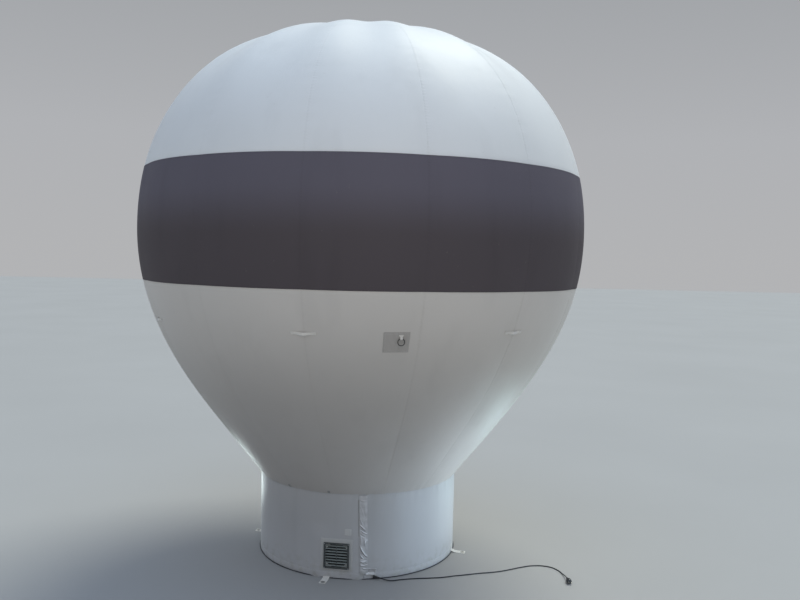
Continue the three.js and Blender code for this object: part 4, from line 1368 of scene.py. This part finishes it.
def add_lead():
    route = smooth_curve(LEAD_ROUTE)
    curve = bpy.data.curves.new("lead", "CURVE")
    curve.dimensions = "3D"
    spline = curve.splines.new("POLY")
    spline.points.add(len(route) - 1)
    for point, spot in zip(spline.points, route):
        point.co = (*spot, 1)
    curve.bevel_depth = LEAD_R
    curve.bevel_resolution = 5
    curve.use_fill_caps = True
    lead = add("lead", curve, LEAD, replaced=["mains_lead"])

    tip = BOOT_LENGTH + 0.0004
    profile = [(0, tip), (0.0045, tip), (0.0058, BOOT_LENGTH)]
    profile += ribbed(-0.002, BOOT_LENGTH - 0.002, 0.009, 0.0062, 6)[::-1]
    profile += [(0.0095, -0.005), (0.0128, -0.0065), (0.0132, -0.009), (0.0125, -0.011), (0, -0.011)]
    mesh = lathe_mesh("lead_boot", profile, pointing(BOOT_BASE, BOOT_WAY), 40)
    boot = add("lead_boot", mesh, BLACK, replaced=["cord_boot"])

    plug = add_plug(pointing(route[-1], route[-1] - route[-2]))
    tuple(LEAD_ROUTE[0])
    round(float(distances(route)[-1]), 3)


def add_plug(base):
    """A round moulded plug with a ribbed tail, finger grips, side earth contacts and two pins."""
    tail, face = 0.04, 0.078
    profile = [(0, 0.0002), (0.0052, 0.0002)] + ribbed(0.001, tail - 0.006, 0.0062, 0.0125, 5)
    profile += [(0.0135, tail - 0.005), (0.0158, tail), (0.0178, tail + 0.004), (0.0184, tail + 0.008)]
    for k in range(3):
        at = tail + 0.011 + k * 0.004
        profile += [(0.0184, at), (0.0175, at + 0.0008), (0.0175, at + 0.0018), (0.0184, at + 0.0026)]
    profile += [(0.0184, tail + 0.028), (0.0171, tail + 0.0286), (0.0171, face - 0.0012), (0.0162, face),
                (0, face)]
    body = lathe_mesh("plug_body", profile[::-1], base, 56)
    pin = [(0, face + 0.019), (0.0012, face + 0.019), (0.0021, face + 0.0182), (0.0024, face + 0.0165),
           (0.0024, face - 0.002), (0, face - 0.002)]
    metal = []
    for side in (-1, 1):
        metal.append(lathe_mesh("pin", pin, base @ Matrix.Translation((side * 0.0095, 0, 0)), 24))
        low = (-0.0022, 0.001 - face, side * 0.0172 - 0.0006)
        high = (0.0022, -(tail + 0.0295), side * 0.0172 + 0.0006)
        metal.append(boxed(low, high, 0.0004, base))
    return [
        add_joined("plug_moulded", [body], BLACK, replaced=["mains_plug"]),
        add_joined("plug_metal", metal, BRASS)
    ]


# Floor and light


def add_floor():
    sh = Shader("floor")
    tone = sh.mix(sh.noise(0.35, 4), (0.41, 0.40, 0.39), (0.46, 0.45, 0.44))
    material = sh.finish(tone, 0.75, sh.times(sh.noise(40, 3), 0.0004), specular_ior_level=0.2)
    mesh = bpy.data.meshes.new("floor")
    reach = 60
    corners = [(-reach, -reach, 0), (reach, -reach, 0), (reach, reach, 0), (-reach, reach, 0)]
    mesh.from_pydata(corners, [], [(0, 1, 2, 3)])
    mesh.materials.append(material)
    linked("floor", mesh)


# The studio's own light, from the horizon (0.5) to overhead (1)
SKY = (
    (0.5, (0.449, 0.453, 0.463)), (0.57, (0.435, 0.444, 0.463)), (0.66, (0.356, 0.37, 0.389)),
    (0.78, (0.333, 0.356, 0.389)), (1.0, (0.62, 0.86, 1.21))
)


def add_world():
    world = bpy.data.worlds.new("studio")
    bpy.context.scene.world = world
    world.use_nodes = True
    tree = world.node_tree
    tree.nodes.clear()
    kinds = ("TexCoord", "SeparateXYZ", "MapRange", "ValToRGB", "Background", "OutputWorld")
    where, split, lift, ramp, back, out = (tree.nodes.new("ShaderNode" + kind) for kind in kinds)
    lift.inputs["From Min"].default_value = -1
    tree.links.new(where.outputs["Generated"], split.inputs[0])
    tree.links.new(split.outputs[2], lift.inputs["Value"])
    for start, end in ((lift, ramp), (ramp, back), (back, out)):
        tree.links.new(start.outputs[0], end.inputs[0])
    elements = ramp.color_ramp.elements
    elements.remove(elements[1])
    for k, (at, colour) in enumerate(SKY):
        element = elements.new(at) if k else elements[0]
        element.position, element.color = at, (*colour, 1)


def add_sun(towards, strength, softness):
    """Light that comes from a direction; softness is its disc's width in degrees."""
    data = bpy.data.lights.new("sun", "SUN")
    data.energy = strength
    data.angle = radians(softness)
    data.color = (0.986, 1.0, 0.869)
    linked("sun", data).rotation_euler = (-Vector(towards)).to_track_quat("-Z", "Y").to_euler()


# Soft lights: name, place, target, size, power, spread in degrees, colour
LIGHTS = (
    ("bounce_right", (2.0, 0.4, 0.03), (0.9, 0.0, 0.9), 1.2, 8.3, 120, (0.71, 0.964, 1.0)),
    ("bounce_side", (1.7, -0.1, 0.02), (1.7, -0.1, 1.0), 1.2, 5.65, 180, (0.83, 0.93, 1.0)),
    ("bounce_front", (1.5, -1.2, 0.3), (0.5, -0.5, 0.5), 0.9, 3.64, 120, (0.605, 0.80, 1.0)),
    ("bounce_left", (-1.35, 1.1, 0.2), (-0.65, 0.35, 0.4), 0.5, 2.1, 90, (0.86, 1.0, 1.0)),
    ("front", (0.5, -6.0, 4.0), (0.0, -1.0, 2.4), 2.0, 3.46, 60, (1.0, 0.905, 0.796))
)


def add_light(name, start, target, size, power, spread, colour, lit):
    """A round soft light that shines on the objects of a collection and leaves the floor as it is."""
    data = bpy.data.lights.new(name, "AREA")
    data.shape = "DISK"
    data.size = size
    data.energy = power
    data.spread = radians(spread)
    data.color = colour
    light = linked(name, data)
    light.visible_camera = False
    light.light_linking.receiver_collection = lit
    light.location = start
    light.rotation_euler = (Vector(target) - Vector(start)).to_track_quat("-Z", "Y").to_euler()


make_camera()
add_lead()
add_gores("dome_gore", S_BAND_HIGH, S_CROWN, 118, WHITE, "white_cloth", ["band_cloth", "crown_cloth"])
add_gores("lower_gore", 0.0, S_BAND_LOW, 106, LOWER_SHADED, "lower_cloth", ["band_cloth", "skirt_right_cloth"])
add_band()
add_crown()
add_skirt()
add_base_floor()
add_hem_rope()
add_patch()
add_grille()
add_duct()
add_fan()
add_blower()
add_zip_flap()
add_zip_foot()
add_tags()
add_loops()
add_tether_patch()
add_tether_ring()
add_anchor_tabs()
lit = bpy.data.collections.new("lit")
for obj in bpy.context.scene.objects:
    if obj.type in {"MESH", "CURVE"}:
        lit.objects.link(obj)
add_floor()
add_world()
add_sun((3.2, 4.2, 8.8), 1.83, 34)
for light in LIGHTS:
    add_light(*light, lit)
bpy.context.scene.view_settings.view_transform = "Standard"
